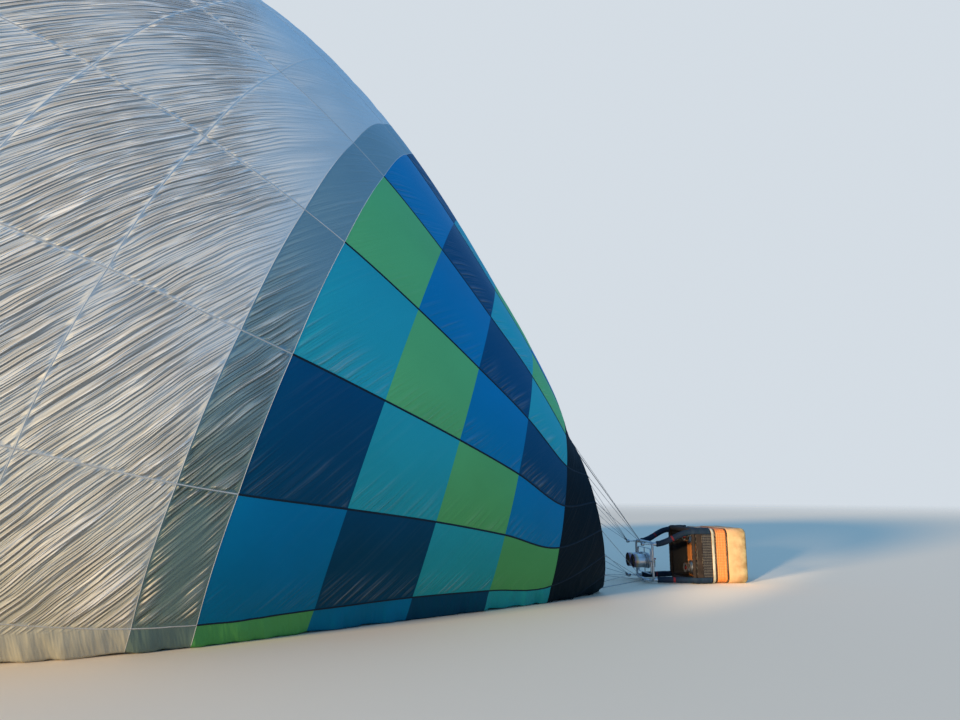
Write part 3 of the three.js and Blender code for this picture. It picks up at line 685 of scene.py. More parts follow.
def sewn_points(place, angle, fold_share):
    """Points of the envelope with its folds, still on the tapes and seams, slack at the ground."""
    points, normals = base_points(place, angle), outward(place, angle)
    distance, _, radius, _ = section_at(place)
    in_gore = (angle - FIRST_TAPE_ANGLE) / GORE_ANGLE
    gore = np.floor(in_gore)
    share = in_gore - gore
    width = 2 * np.pi * radius / GORES
    around = gore * GORE_OFFSET + (share - 0.5) * width
    from_tape = np.minimum(share, 1 - share) * width
    row = np.clip(np.floor(place).astype(int), 0, len(SECTIONS) - 2)
    from_seam = np.minimum(place - row, row + 1 - place) * reaches[row]
    held = smooth_step(from_tape, 0.0, TAPE_HOLDS) * smooth_step(from_seam, 0.0, SEAM_HOLDS)
    ridge = ridge_height(around, distance, FOLD_LENGTH, FOLD_WIDTH, SEEDS["folds"])
    height = FOLD_HEIGHT * fold_share * ridge * held
    slack = smooth_step(SKIRT_TOP - points[..., 2], 0.0, 0.2)
    upright = lattice_noise(points[..., 0] / SKIRT_GATHER[0], angle / SKIRT_GATHER[1], SEEDS["slack"])
    height = height * (1 - slack) + SKIRT_FOLD * slack * upright
    points = points + normals * height[..., None]
    points[..., 2] = np.maximum(points[..., 2], GROUND_CLEAR)
    return points


def steps_for(first, last, cell):
    """Places from one section to another, a whole number of steps in each span."""
    counts = [max(2, math.ceil(reaches[k] / cell)) for k in range(first, last)]
    places = [np.linspace(k, k + 1, count, endpoint=False) for k, count in enumerate(counts, first)]
    return np.append(np.concatenate(places), last)


def flat_cut(points):
    """Width, length and area of a grid of cloth before it is hung, with a little for its folds."""
    around = np.linalg.norm(np.diff(points, axis=1), axis=-1)
    along = np.linalg.norm(np.diff(points, axis=0), axis=-1)
    width, length = around.sum(1).max() * HEM_ALLOWANCE, along.sum(0).max() * HEM_ALLOWANCE
    return width, length, (around[1:] * along[:, 1:]).sum()


def make_quarter(zone, quarter):
    first, last, slot, fold_share, nodes = ZONES[zone]
    first_tape, seen = QUARTERS[quarter]
    cell = SEEN_CELL if seen else HIDDEN_CELL
    places = steps_for(first, last, cell)
    widest = 2 * math.pi * section_at(places)[2].max() / GORES
    per_gore = 2 * math.ceil(widest / cell / 2)
    columns = np.arange(QUARTER_GORES * per_gore + 1)
    angles = FIRST_TAPE_ANGLE + (first_tape + columns / per_gore) * GORE_ANGLE
    place, angle = np.meshgrid(places, angles, indexing="ij")
    points = sewn_points(place, angle, fold_share)
    faces = grid_faces(*place.shape)
    piece = mesh_piece(f"{zone}_gores_{quarter}", points, faces)

    row, column = np.divmod(np.arange(len(faces)), len(angles) - 1)
    gore = first_tape + column // per_gore
    share = ((column % per_gore)[:, None] + np.array([0, 1, 1, 0])) / per_gore
    at = places[row[:, None] + np.array([0, 0, 1, 1])]
    distance, _, radius, _ = section_at(at)
    width = 2 * np.pi * radius / GORES
    around = gore[:, None] * GORE_OFFSET + (share - 0.5) * width
    add_corner_map(piece, "cloth", np.stack([around, distance], -1))
    span = np.floor(places[row]).astype(int)
    in_row = at - span[:, None]
    from_seam = np.minimum(in_row, 1 - in_row) * reaches[span][:, None]
    from_tape = np.minimum(share, 1 - share) * width
    add_corner_map(piece, "seams", np.stack([np.minimum(from_seam, from_tape), share], -1))

    finish_piece(piece, "balloon", nodes, ZONE_CLOTHS[zone])
    if zone == "checker":
        piece.data.polygons.foreach_set("material_index", ((gore + 1 - span) % 4).astype(np.int32))
    width, length, area = flat_cut(base_points(place, angle))
    return piece


envelope = {(zone, quarter): make_quarter(zone, quarter) for zone in ZONES for quarter in QUARTERS}
print("envelope:", len(envelope), "sheets,", sum(len(p.data.polygons) for p in envelope.values()), "quads")

# %% [markdown]
# A load tape is stitched over every sewing line between gores and carries the basket's weight. The
# rows inside a gore are joined by a narrow folded seam. Both are ribbons that follow the cloth a few
# millimetres above it, so a shadow line shows where they run. Painted lines would vanish side on.

# %% Ribbons for tapes and seams
RIBBON_BEVEL, RIBBON_SUNK = 0.002, -0.001


def ribbon(points, normals, width, lift, closed=False):
    """Points and faces of a raised strip along a line, with bevelled long edges."""
    tangents = np.roll(points, -1, 0) - np.roll(points, 1, 0)
    if not closed:
        tangents[0], tangents[-1] = points[1] - points[0], points[-1] - points[-2]
    sides = np.cross(normals, tangents)
    sides /= np.linalg.norm(sides, axis=-1, keepdims=True)
    half = width / 2
    inner = half - RIBBON_BEVEL
    columns = [(half, RIBBON_SUNK), (inner, lift), (-inner, lift), (-half, RIBBON_SUNK)]
    grid = np.stack([points + sides * side + normals * up for side, up in columns], 1)
    if closed:
        grid = np.concatenate([grid, grid[:1]])
    grid[..., 2] = np.maximum(grid[..., 2], GROUND_CLEAR)
    return grid.reshape(-1, 3), grid_faces(len(grid), len(columns))


def join_strips(name, strips):
    """One piece from several strips of points and faces."""
    starts = np.cumsum([0] + [len(points) for points, _ in strips[:-1]])
    faces = np.concatenate([faces + start for (_, faces), start in zip(strips, starts)])
    return mesh_piece(name, np.concatenate([points for points, _ in strips]), faces)


print("ribbon: four points across, edges bevelled by", RIBBON_BEVEL, "m")

# %% [markdown]
# Webbing and cable covers are woven too, but so coarsely that the weave is a bump of their own. The
# same twill pattern serves tape, binding and straps in different colours. It runs on Object
# coordinates, because a tape a few centimetres wide has no need of a map of its own.

# %% Webbing material
TWILL_SCALE = 260.0

twill, inside, outside = new_group(
    "twill", [("Place", "Vector", None), ("Scale", "Float", TWILL_SCALE)], [("Height", "Float")]
)
threads = {"Vector": inside["Place"], "Scale": inside["Scale"], "Distortion": 2.0, "Detail": 1.0}
feed(twill, outside["Height"], node(twill, "TexWave", threads, bands_direction="DIAGONAL").outputs["Fac"])


def webbing_material(name, colour, roughness=0.75):
    material, tree = new_material(name)
    place = object_place(tree)
    height = use_group(tree, twill, {"Place": place})["Height"]
    bump = bump_from(tree, height, 0.5, 0.001)
    fade = noise(tree, place, 3.0, 4.0)
    drift = remap(tree, fade, 0.3, 0.7, 0.8, 1.15)
    tint = scaled(tree, colour, drift)
    return end_material(material, coat(tree, tint, roughness, bump, specular=0.2))


DARK_TAPE = webbing_material("dark_tape", (0.003, 0.016, 0.03))
PALE_TAPE = webbing_material("pale_tape", (0.54, 0.54, 0.52))
PALE_SEAM = webbing_material("pale_seam", (0.62, 0.62, 0.60))
print("webbing: dark tape, pale tape, pale seam")

# %% Load tapes and seams
TAPE_WIDTHS = {"dark": 0.026, "pale": 0.016}
TAPE_LIFT = 0.003
SEAM_WIDTH, SEAM_LIFT = 0.008, 0.002
TAPE_STEP = 0.07


def angles_round(count):
    """Even angles round the envelope, in degrees, from the first tape."""
    return FIRST_TAPE_ANGLE + np.arange(count) * 360 / count


def tape_strip(k, first, last, width):
    places = steps_for(first, last, TAPE_STEP)
    angles = np.full(len(places), FIRST_TAPE_ANGLE + k * GORE_ANGLE)
    return ribbon(sewn_points(places, angles, 0), outward(places, angles), width, TAPE_LIFT)


def seam_strip(section):
    steps = GORES * 2 * math.ceil(math.pi * SECTIONS[section, 2] / GORES / TAPE_STEP)
    angles = angles_round(steps)
    places = np.full(steps, float(section))
    return ribbon(sewn_points(places, angles, 0), outward(places, angles), SEAM_WIDTH, SEAM_LIFT, closed=True)


RIBBONS = [
    ("load_tapes_dark", DARK_TAPE, [tape_strip(k, 0, 5, TAPE_WIDTHS["dark"]) for k in range(GORES)]),
    ("load_tapes_pale", PALE_TAPE, [tape_strip(k, 5, 15, TAPE_WIDTHS["pale"]) for k in range(GORES)]),
    ("row_seams", PALE_SEAM, [seam_strip(k) for k in range(5, 15)]),
]
for name, material, strips in RIBBONS:
    finish_piece(join_strips(name, strips), "balloon", materials=[material])
print("tapes:", GORES, "down the gores, seams on", len(SECTIONS) - 2, "sections")

# %% [markdown]
# The mouth ends in a folded binding with a cable inside, which keeps it round and takes the wires. It
# is a thick flattened tube that follows the first section. The sheet of cloth ends inside it.

# %% Mouth binding
BINDING_HALF = (0.030, 0.009)  # along the cloth and through it
BINDING_STEPS, BINDING_SIDES = 320, 12
BINDING_SUNK = 0.010
STITCH_SWELL, STITCHES_ROUND = 0.12, 90
HEM_PLACE = 0.04  # counted in sections

angles = angles_round(BINDING_STEPS)
places = np.full(BINDING_STEPS, HEM_PLACE)
centres, normals = base_points(places, angles), outward(places, angles)
along = base_points(places + HEM_PLACE / 2, angles) - centres
along /= np.linalg.norm(along, axis=-1, keepdims=True)
turns = turns_of(BINDING_SIDES)
stitched = 1 + STITCH_SWELL * np.sin(np.radians(angles) * STITCHES_ROUND)
rim = centres[:, None] - BINDING_SUNK * normals[:, None]
rim = rim + np.cos(turns)[None, :, None] * BINDING_HALF[0] * along[:, None]
rim = rim + (np.sin(turns)[None, :] * BINDING_HALF[1] * stitched[:, None])[..., None] * normals[:, None]
rim[..., 2] = np.maximum(rim[..., 2], GROUND_CLEAR)
rim = np.concatenate([rim, rim[:1]])
binding = mesh_piece("mouth_binding", rim, grid_faces(len(rim), BINDING_SIDES, closed=True))
finish_piece(binding, "balloon", ["mouth_hem"], [DARK_TAPE])
print("binding:", BINDING_STEPS, "steps round the mouth")

# %% [markdown]
# The crown is open, and a parachute panel closes it from inside. The pilot pulls it in to let the air
# out. Pressure holds it against twenty tapes that cross the opening to one ring, so its cloth swells
# between them. It is a dome of rings and gores, like a shallow umbrella, and it rides on its own body.

# %% Parachute vent
VENT_TURN = math.radians(SECTIONS[-1, 3] - 90)
VENT_RADIUS, VENT_RISE, VENT_DEPTH = 2.45, 0.38, 0.018
VENT_MARGIN, VENT_MARGIN_SLOPE = 0.40, 0.46
VENT_SWELL, VENT_WRINKLE = 0.045, 0.006
VENT_SHEET_LIFT = -0.004
CROWN_CENTRE = np.array([MOUTH_X - SECTIONS[-1, 0], 0, SECTIONS[-1, 1]])
CROWN_X = np.array([math.cos(VENT_TURN), 0, -math.sin(VENT_TURN)])
CROWN_OUT = np.array([math.sin(VENT_TURN), 0, math.cos(VENT_TURN)])
VENT_RINGS = 40
VENT_STEPS = 16


def crown_point(radius, degrees, height):
    """A point over the vent opening, by radius, direction and height above its plane."""
    turn = np.radians(degrees)
    flat = np.cos(turn)[..., None] * CROWN_X + np.sin(turn)[..., None] * np.array([0, 1, 0])
    return CROWN_CENTRE + radius[..., None] * flat + height[..., None] * CROWN_OUT


def vent_height(radius):
    dome = VENT_RISE * (1 - (radius / VENT_RADIUS) ** 2) - VENT_DEPTH
    margin = -VENT_DEPTH - (radius - VENT_RADIUS) * VENT_MARGIN_SLOPE
    return np.where(radius < VENT_RADIUS, dome, margin)


radii = np.linspace(0.02, VENT_RADIUS + VENT_MARGIN, VENT_RINGS)
degrees = angles_round(GORES * VENT_STEPS)
radius, angle = np.meshgrid(radii, degrees, indexing="ij")
between = np.abs(np.sin(np.radians((angle - FIRST_TAPE_ANGLE) * GORES / 2)))
swell = VENT_SWELL * between * smooth_step(radius, 0.2, 1.2) * smooth_step(VENT_RADIUS - radius, 0.0, 0.5)
wrinkle = VENT_WRINKLE * lattice_noise(radius / 0.5, angle / 3, SEEDS["vent"]) * between
grid = crown_point(radius, angle, vent_height(radius) + VENT_SHEET_LIFT + swell + wrinkle)
vent = mesh_piece("vent_parachute", grid[::-1], grid_faces(VENT_RINGS, len(degrees), closed=True))
finish_piece(vent, "vent", ["vent_panel"], [WHITE_CLOTH])
loops = np.empty(len(vent.data.loops), np.int32)
vent.data.loops.foreach_get("vertex_index", loops)
for label, pair in (("cloth", (radius, np.radians(angle) * 2)), ("seams", (between * 0.3, radius))):
    add_corner_map(vent, label, np.stack(pair, -1)[::-1].reshape(-1, 2)[loops])

# %% Crown tapes, hem and ring
CROWN_RING_RADIUS, CROWN_RING_BAR = 0.160, 0.013
VENT_HEM_RADIUS, VENT_HEM_WIDTH, VENT_HEM_TOP = 2.4227, 0.070, 0.012
CROWN_TAPE_WIDTH, CROWN_TAPE_LIFT = 0.05, 0.004
CROWN_STRIP_STEPS, HEM_STEPS = 24, 240


def crown_strip(k):
    radius = np.linspace(CROWN_RING_RADIUS - 0.03, VENT_HEM_RADIUS - 0.02, CROWN_STRIP_STEPS)
    degrees = np.full(CROWN_STRIP_STEPS, FIRST_TAPE_ANGLE + k * GORE_ANGLE)
    points = crown_point(radius, degrees, vent_height(radius) + CROWN_TAPE_LIFT)
    outwards = np.broadcast_to(CROWN_OUT, points.shape)
    return ribbon(points, outwards, CROWN_TAPE_WIDTH, CROWN_TAPE_LIFT)


hem_angles = np.arange(HEM_STEPS) * 360 / HEM_STEPS
hem_radius = np.full(HEM_STEPS, VENT_HEM_RADIUS - VENT_HEM_WIDTH / 2)
hem_points = crown_point(hem_radius, hem_angles, vent_height(hem_radius) + VENT_HEM_TOP / 2)
hem_out = np.broadcast_to(CROWN_OUT, hem_points.shape)
hem = ribbon(hem_points, hem_out, VENT_HEM_WIDTH, CROWN_TAPE_LIFT, closed=True)
crown_tapes = join_strips("crown_webbing", [crown_strip(k) for k in range(GORES)] + [hem])
finish_piece(crown_tapes, "balloon", ["crown_tapes"], [PALE_TAPE])
print("crown:", GORES, "tapes and a hem")

# %% [markdown]
# The basket is woven from cane: upright stakes about five centimetres apart, and rods that pass in
# front of one stake and behind the next. It is made as a dense sheet of points whose height follows
# the weave. Single curves for each rod would look the same and cost three times the faces.

# %% Basket outline
BASKET_HALF = (0.492, 0.592)
BASKET_CORNER = 0.110
BASKET_HEIGHT = 1.100
SKIRT_BOTTOM, SKIRT_THICKNESS = 0.030, 0.008
FOOT_CURVE = (0.050, 0.064)  # how far the foot turns in, and over what height
BASKET_FLOOR_X = cad_box[1].x
BASKET_CENTRE = (0.9, 0.5)  # along Y and Z of the frame
LONG_SIDE, SHORT_SIDE = (2 * (half - BASKET_CORNER) for half in reversed(BASKET_HALF))
CORNER_ARC = math.pi * BASKET_CORNER / 2
HALF_LOOP = LONG_SIDE + SHORT_SIDE + 2 * CORNER_ARC
LOOP_LENGTH = 2 * HALF_LOOP


def from_basket(x, y, z):
    """Places in the frame from places in the upright basket, which lies on its side."""
    return np.stack(np.broadcast_arrays(BASKET_FLOOR_X - z, BASKET_CENTRE[0] + y, BASKET_CENTRE[1] + x), -1)


def on_basket(s, offset, z):
    """A point at a distance s round the basket, that far outside its wall and that high."""
    sign = 1 - 2 * (np.floor(s / HALF_LOOP) % 2)
    s = s % HALF_LOOP
    first, second = s - LONG_SIDE, s - LONG_SIDE - CORNER_ARC - SHORT_SIDE
    turn = (np.clip(first, 0, CORNER_ARC) + np.clip(second, 0, CORNER_ARC)) / BASKET_CORNER
    x = SHORT_SIDE / 2 - np.clip(first - CORNER_ARC, 0, SHORT_SIDE) + (BASKET_CORNER + offset) * np.cos(turn)
    y = -LONG_SIDE / 2 + np.clip(s, 0, LONG_SIDE) + (BASKET_CORNER + offset) * np.sin(turn)
    return from_basket(sign * x, sign * y, z)


def foot_offset(z, inset):
    """The offset of the curved foot, that far inside the outer face of its rawhide."""
    reach, rise = FOOT_CURVE
    below = np.clip((SKIRT_BOTTOM + rise - z) / (rise - inset), 0, 1)
    return SKIRT_THICKNESS - reach + (reach - inset) * np.sqrt(1 - below**2)


def around_basket(count):
    """Even distances round the basket."""
    return np.arange(count) * LOOP_LENGTH / count


print("basket:", round(LOOP_LENGTH, 3), "m round")

# %% Wicker material
WICKER_FOOT, WICKER_TOP = 0.0545, 1.028
ROD_PITCH = 0.0096
STAKES = 86
LIGHT_STRIP_TOP = 0.716
DARK_CANE, PALE_CANE, UPPER_CANE = (0.36, 0.085, 0.009), (0.80, 0.30, 0.065), (0.007, 0.005, 0.004)


def wicker_material():
    """Cane in rows: the map holds the distance round the basket and the row that a point is in."""
    material, tree = new_material("wicker")
    weave = node(tree, "UVMap", uv_map="weave").outputs[0]
    parts = node(tree, "SeparateXYZ", {0: weave}).outputs
    row = math_node(tree, "FLOOR", parts["Y"])
    rod = node(tree, "TexWhiteNoise", {"W": row}, noise_dimensions="1D").outputs["Value"]
    stretched = stretch(tree, weave, (9.0, 3.0, 1.0))
    grain = noise(tree, stretched, 4.0, 4.0)
    aged = noise(tree, weave, 1.1, 3.0)
    shade = times_and_add(tree, rod, 0.35, times(tree, grain, 0.65))
    cane = colour_ramp(tree, shade, (0.2, DARK_CANE), (0.8, PALE_CANE))
    # The rows above the light strip are near black.
    upper_rows_from = (LIGHT_STRIP_TOP - WICKER_FOOT) / ROD_PITCH
    upper_rows = math_node(tree, "GREATER_THAN", row, upper_rows_from)
    colour = mix(tree, upper_rows, cane, UPPER_CANE)
    across = math_node(tree, "ABSOLUTE", minus(tree, math_node(tree, "FRACT", parts["Y"]), 0.5))
    # Painted shade: each rod is darkened towards its edges, in the grooves where the rods meet.
    groove_shade = remap(tree, across, 0.30, 0.5, 1.0, 0.35)
    dust = remap(tree, aged, 0.35, 0.7, 0.75, 1.12)
    tint = scaled(tree, colour, times(tree, groove_shade, dust))
    rough = remap(tree, grain, 0.0, 1.0, 0.38, 0.62)
    bump = bump_from(tree, grain, 0.5, 0.0012)
    return end_material(material, coat(tree, tint, rough, bump))


WICKER = wicker_material()
print("wicker: rods every", ROD_PITCH, "m")

# %% Woven wall
WALL_THICKNESS = 0.034
WEAVE_SWING = 0.0036  # how far a rod bends round a stake
ROD_RADIUS, ROD_SHARE = 0.0050, 0.98  # of the radius shows before the next rod covers it
ROD_LEAN, WEAVE_SUNK = 0.0012, 0.0015


def woven_sheet(name, side, fineness):
    """One face of the wall. Side is 1 outside and -1 inside, and fineness is steps for each stake and rod."""
    rods = round((WICKER_TOP - WICKER_FOOT) / ROD_PITCH)
    steps = STAKES * fineness
    s = around_basket(steps)
    rows = np.arange(rods * fineness + 1) / fineness
    s, row = np.meshgrid(s, rows, indexing="xy")
    across = np.abs(row % 1 - 0.5) * 2
    swing = np.cos(np.pi * (s / LOOP_LENGTH * STAKES + np.floor(row - 1e-6)))
    bow = ROD_RADIUS * (np.sqrt(1 - ROD_SHARE * across**2) - 1)
    lean = ROD_LEAN * lattice_noise(s / 0.09, row / 3, SEEDS["rods"])
    depth = WEAVE_SWING * (swing - 1) * (1 - across**2) + bow + lean - WEAVE_SUNK
    height = WICKER_FOOT + row * ROD_PITCH
    base = foot_offset(height, SKIRT_THICKNESS) if side > 0 else -WALL_THICKNESS
    points = on_basket(s, base + side * depth, height)
    points = points if side > 0 else points[::-1]
    faces = grid_faces(*row.shape, closed=True)
    piece = mesh_piece(name, points, faces)
    up, around = np.divmod(faces, steps)
    around = np.where((around == 0) & (np.arange(len(faces))[:, None] % steps == steps - 1), steps, around)
    heights = rows if side > 0 else rows[::-1]
    middle = np.floor(heights[up].min(1))[:, None]
    in_row = np.clip(heights[up], middle, middle + 0.999)
    add_corner_map(piece, "weave", np.stack([around * LOOP_LENGTH / steps, in_row], -1))
    return finish_piece(piece, "balloon", ["wicker_wall"], [WICKER])


wicker_outer = woven_sheet("wicker_outer", 1, 3)
wicker_inner = woven_sheet("wicker_inner", -1, 2)
print("wicker:", len(wicker_outer.data.polygons), "faces outside,", len(wicker_inner.data.polygons), "inside")

# %% [markdown]
# Leather covers what gets scuffed: a suede band below the rim, rawhide round the foot, and two
# narrow strips over the joins of the weave, one of them with a dark binding. Each is a skin that
# stands a few millimetres out from the wicker, with rolled edges and stitches of real thread, because
# a painted band has no edge to catch light. The rawhide is drawn round the lower edge, so its
# profile ends in a curve.

# %% Leather materials
hide, inside, outside = new_group(
    "hide_grain",
    [("Place", "Vector", None), ("Scale", "Float", 60.0)],
    [("Height", "Float"), ("Patches", "Float")],
)
pores = {"Vector": inside["Place"], "Scale": inside["Scale"]}
cells = node(hide, "TexVoronoi", pores, feature="DISTANCE_TO_EDGE").outputs["Distance"]
fibres = noise(hide, inside["Place"], 220.0, 3.0)
furrows = math_node(hide, "MINIMUM", cells, 0.12)
feed(hide, outside["Height"], math_node(hide, "ADD", furrows, times(hide, fibres, 0.25)))
feed(hide, outside["Patches"], noise(hide, inside["Place"], 7.0, 5.0))


RAWHIDE_FROM, RAWHIDE_TO = 10.21, 10.56  # along X, from the sewn edge to the floor of the basket
# The rawhide turns oranger towards its sewn edge.
EDGE_ORANGE = (0.62, 0.33, 0.16)


def hide_material(name, worn, fresh, scale, bump_height, roughness, ribs=0.0):
    """Leather or rawhide. Ribs is how far the rows of the weave press through it from behind."""
    material, tree = new_material(name)
    place = object_place(tree)
    skin = use_group(tree, hide, {"Place": place, "Scale": scale})
    rough = remap(tree, skin["Patches"], 0.0, 1.0, roughness - 0.12, roughness + 0.12)
    bump = bump_from(tree, skin["Height"], 0.7, bump_height)
    tint = colour_ramp(tree, skin["Patches"], (0.35, worn), (0.68, fresh))
    if ribs:
        along = node(tree, "SeparateXYZ", {0: place}).outputs["X"]
        rows = math_node(tree, "SINE", times(tree, along, 2 * math.pi / (2 * ROD_PITCH)))
        lift = times(tree, rows, skin["Patches"], ribs)
        bump = bump_from(tree, lift, normal=bump)
        # Oranger towards the sewn edge, fading to the floor of the basket.
        edge = remap(tree, along, RAWHIDE_FROM, RAWHIDE_TO, 0.75, 0.0)
        tint = mix(tree, edge, tint, EDGE_ORANGE)
    return end_material(material, coat(tree, tint, rough, bump, specular=0.25))


SUEDE = hide_material("suede", (0.012, 0.008, 0.006), (0.027, 0.017, 0.012), 90.0, 0.002, 0.85)
RAWHIDE = hide_material(
    "rawhide", (0.175, 0.125, 0.055), (0.345, 0.300, 0.165), 24.0, 0.004, 0.6, ribs=0.0021
)
LIGHT_LEATHER = hide_material("light_leather", (0.26, 0.25, 0.19), (0.42, 0.41, 0.34), 70.0, 0.0015, 0.6)
DARK_LEATHER = hide_material("dark_leather", (0.020, 0.012, 0.008), (0.045, 0.026, 0.015), 70.0, 0.0015, 0.6)
THREAD = webbing_material("thread", (0.55, 0.46, 0.30), 0.6)
print("leathers: suede, rawhide, light, dark")

# %% Leather bands and stitches
BANDS = [
    # node, foot, top, thickness, material, slot, stitch length
    ("rawhide_skirt", 0.030, 0.405, 0.008, RAWHIDE, "rawhide", 0.022),
    ("dark_strip", 0.412, 0.446, 0.006, DARK_LEATHER, "dark_trim", 0.010),
    ("binding_strip", 0.636, 0.668, 0.005, DARK_LEATHER, "dark_trim", 0.010),
    ("light_strip", 0.672, 0.716, 0.006, LIGHT_LEATHER, "light_trim", 0.010),
    ("suede_band", 0.905, 1.020, 0.008, SUEDE, "suede", 0.012),
]
BAND_STEP = 0.016
EDGE_ROLL = 0.004
STITCH_INSET, STITCH_PULL = 0.009, 0.0018


def band_profile(foot, top, thickness, rows):
    """Offsets and heights across a band, from its lower edge to its rolled upper one."""
    turns = np.linspace(0, np.pi / 2, 4)
    roll_out, roll_up = thickness * np.sin(turns), EDGE_ROLL * (1 - np.cos(turns))
    low_out, low_up = roll_out, foot + roll_up
    if foot == SKIRT_BOTTOM:
        low_up = SKIRT_BOTTOM + FOOT_CURVE[1] * (1 - np.cos(np.linspace(0, np.pi / 2, 12)))
        low_out = foot_offset(low_up, 0)
    flat = np.linspace(low_up[-1], top - EDGE_ROLL, rows)[1:-1]
    offsets = np.concatenate([low_out, np.full(len(flat), thickness), roll_out[::-1]])
    return offsets, np.concatenate([low_up, flat, top - roll_up[::-1]])


def stitches(foot, top, offset, length):
    """Rows of short raised stitches round a band, beside its edges that are sewn."""
    count = round(LOOP_LENGTH / length / 1.6)
    s = around_basket(count)
    half, wide, tall = length / 2, length * 0.16, 0.0011
    corners = [(-half, 0, 0), (0, -wide, 0), (half, 0, 0), (0, wide, 0), (0, 0, tall)]
    ends = np.array([[0, 1, 4], [1, 2, 4], [2, 3, 4], [3, 0, 4]])
    lines = (top - STITCH_INSET,) if foot == SKIRT_BOTTOM else (foot + STITCH_INSET, top - STITCH_INSET)
    points = [
        np.stack([on_basket(s + along, offset + up, z + side) for along, side, up in corners], 1)
        for z in lines
    ]
    points = np.concatenate(points).reshape(-1, 3)
    return points, (np.arange(len(lines) * count)[:, None, None] * 5 + ends).reshape(-1, 3)


def make_band(name, foot, top, thickness, material, slot, stitch_length):
    rows = max(4, round((top - foot) / BAND_STEP))
    offsets, heights = band_profile(foot, top, thickness, rows)
    steps = round(LOOP_LENGTH / BAND_STEP)
    s = around_basket(steps)
    s, offset = np.meshgrid(s, offsets, indexing="xy")
    height = np.broadcast_to(heights[:, None], s.shape)
    flat = np.clip(offset / thickness, 0, 1)
    sagged = 0.0022 * lattice_noise(s / 0.13, height / 0.07, SEEDS["leather"]) * flat
    from_edge = np.minimum(height - foot, top - height)
    drawn_in = -STITCH_PULL * np.exp(-((from_edge - STITCH_INSET) / 0.004) ** 2) * flat
    points = on_basket(s, offset + sagged + drawn_in, height)
    piece = mesh_piece(f"{name}_leather", points, grid_faces(*s.shape, closed=True))
    seam_points, seam_faces = stitches(foot, top, thickness - 0.0012, stitch_length)
    seam = mesh_piece(f"{name}_stitches", seam_points, seam_faces)
    finish_piece(seam, "balloon", materials=[THREAD])
    finish_piece(piece, "balloon", [name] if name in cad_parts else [], [material])
    return piece


bands = [make_band(*band) for band in BANDS]
print("bands:", [piece.name for piece in bands])

# %% [markdown]
# The rim is a roll of foam in suede, laced on through the weave. The lace pulls the roll in every few
# centimetres, so it is a tube along the basket's outline whose radius dips there, with a thin loop of
# lace in each dip.

# %% Padded rim
RIM_RADIUS, RIM_INSET, RIM_DROP = 0.0355, 0.029, 0.036
RIM_PINCH, RIM_CRUMPLE = 0.10, 0.02
LACE_PITCH = 0.075
LACE_RADIUS, LACE_LEAN = 0.0022, 0.004
LACE_STEPS, LACE_SIDES = 18, 5
WAIST = 0.905  # of the rim's radius, where a lace pulls it in
RIM_SIDES = 24


def rim_point(s, turn, radius):
    return on_basket(s, radius * np.cos(turn) - RIM_INSET, BASKET_HEIGHT - RIM_DROP + radius * np.sin(turn))


laces = round(LOOP_LENGTH / LACE_PITCH)
s, turn = np.meshgrid(around_basket(laces * (12)), turns_of(RIM_SIDES), indexing="xy")
from_lace = np.abs((s / LOOP_LENGTH * laces) % 1 - 0.5) * 2
waist = 1 - RIM_PINCH * smooth_step(from_lace, 0.55, 1.0)
crumple = 1 + RIM_CRUMPLE * lattice_noise(s / 0.05, turn * 2, SEEDS["rim"])
rim_points = rim_point(s, turn, RIM_RADIUS * waist * crumple * 0.995)
rim_roll = mesh_piece("rim_roll", rim_points, grid_faces(*s.shape, closed=True, ring=True))
finish_piece(rim_roll, "balloon", ["rim_pad"], [SUEDE])

s, turn, tube = np.meshgrid(around_basket(laces), turns_of(LACE_STEPS), turns_of(LACE_SIDES), indexing="ij")
along = s + LACE_RADIUS * np.sin(tube) + LACE_LEAN * np.sin(turn)
lace_points = rim_point(along, turn, RIM_RADIUS * WAIST + LACE_RADIUS * np.cos(tube))
lace_faces = grid_faces(LACE_STEPS, LACE_SIDES, closed=True, ring=True)[:, ::-1]
starts = LACE_STEPS * LACE_SIDES * np.arange(laces)
rim_laces = mesh_piece("rim_laces", lace_points, (lace_faces + starts[:, None, None]).reshape(-1, 4))
finish_piece(rim_laces, "balloon", materials=[DARK_LEATHER])
print("rim:", laces, "laces")

# %% [markdown]
# Four bendy rods hold the burner frame up, each in a padded cover of tough cloth that closes round it
# with a zip. The cover is a tube along the same curve as the rod. It bulges between its straps and
# creases on the inside of the bend, which a plain extruded circle wouldn't show.

# %% Padded uprights
FRAME_CENTRE = (-0.105, 0.0, 1.820)
FRAME_HALF, FRAME_CORNER = (0.350, 0.455), 0.090
SOCKET_LENGTH = 0.0803
SEAT_GAP = 0.0003  # left between parts that touch
UPRIGHT_RADIUS = 0.055
UPRIGHT_PULL = 0.220
STRAPS = (0.12, 0.52, 0.90)  # shares of the length
STRAP_HALF, STRAP_FADE = 0.022, 0.028
STRAP_PINCH, COVER_CREASE, ZIP_RISE = 0.085, 0.018, 0.03  # of the upright's radius
STRAP_LIFTS = (0.90, 0.945, 0.95, 0.95, 0.95, 0.945, 0.90)  # across a strap, of the upright's radius
CORNERS = {"lower_near": (-1, -1), "lower_far": (-1, 1), "upper_near": (1, -1), "upper_far": (1, 1)}
COVER_STEPS, COVER_SIDES = ((130, 36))


def frame_corner(sign_x, sign_y):
    inset = 0.3 * FRAME_CORNER
    return (
        FRAME_CENTRE[0] + sign_x * (FRAME_HALF[0] - inset),
        FRAME_CENTRE[1] + sign_y * (FRAME_HALF[1] - inset),
        FRAME_CENTRE[2],
    )


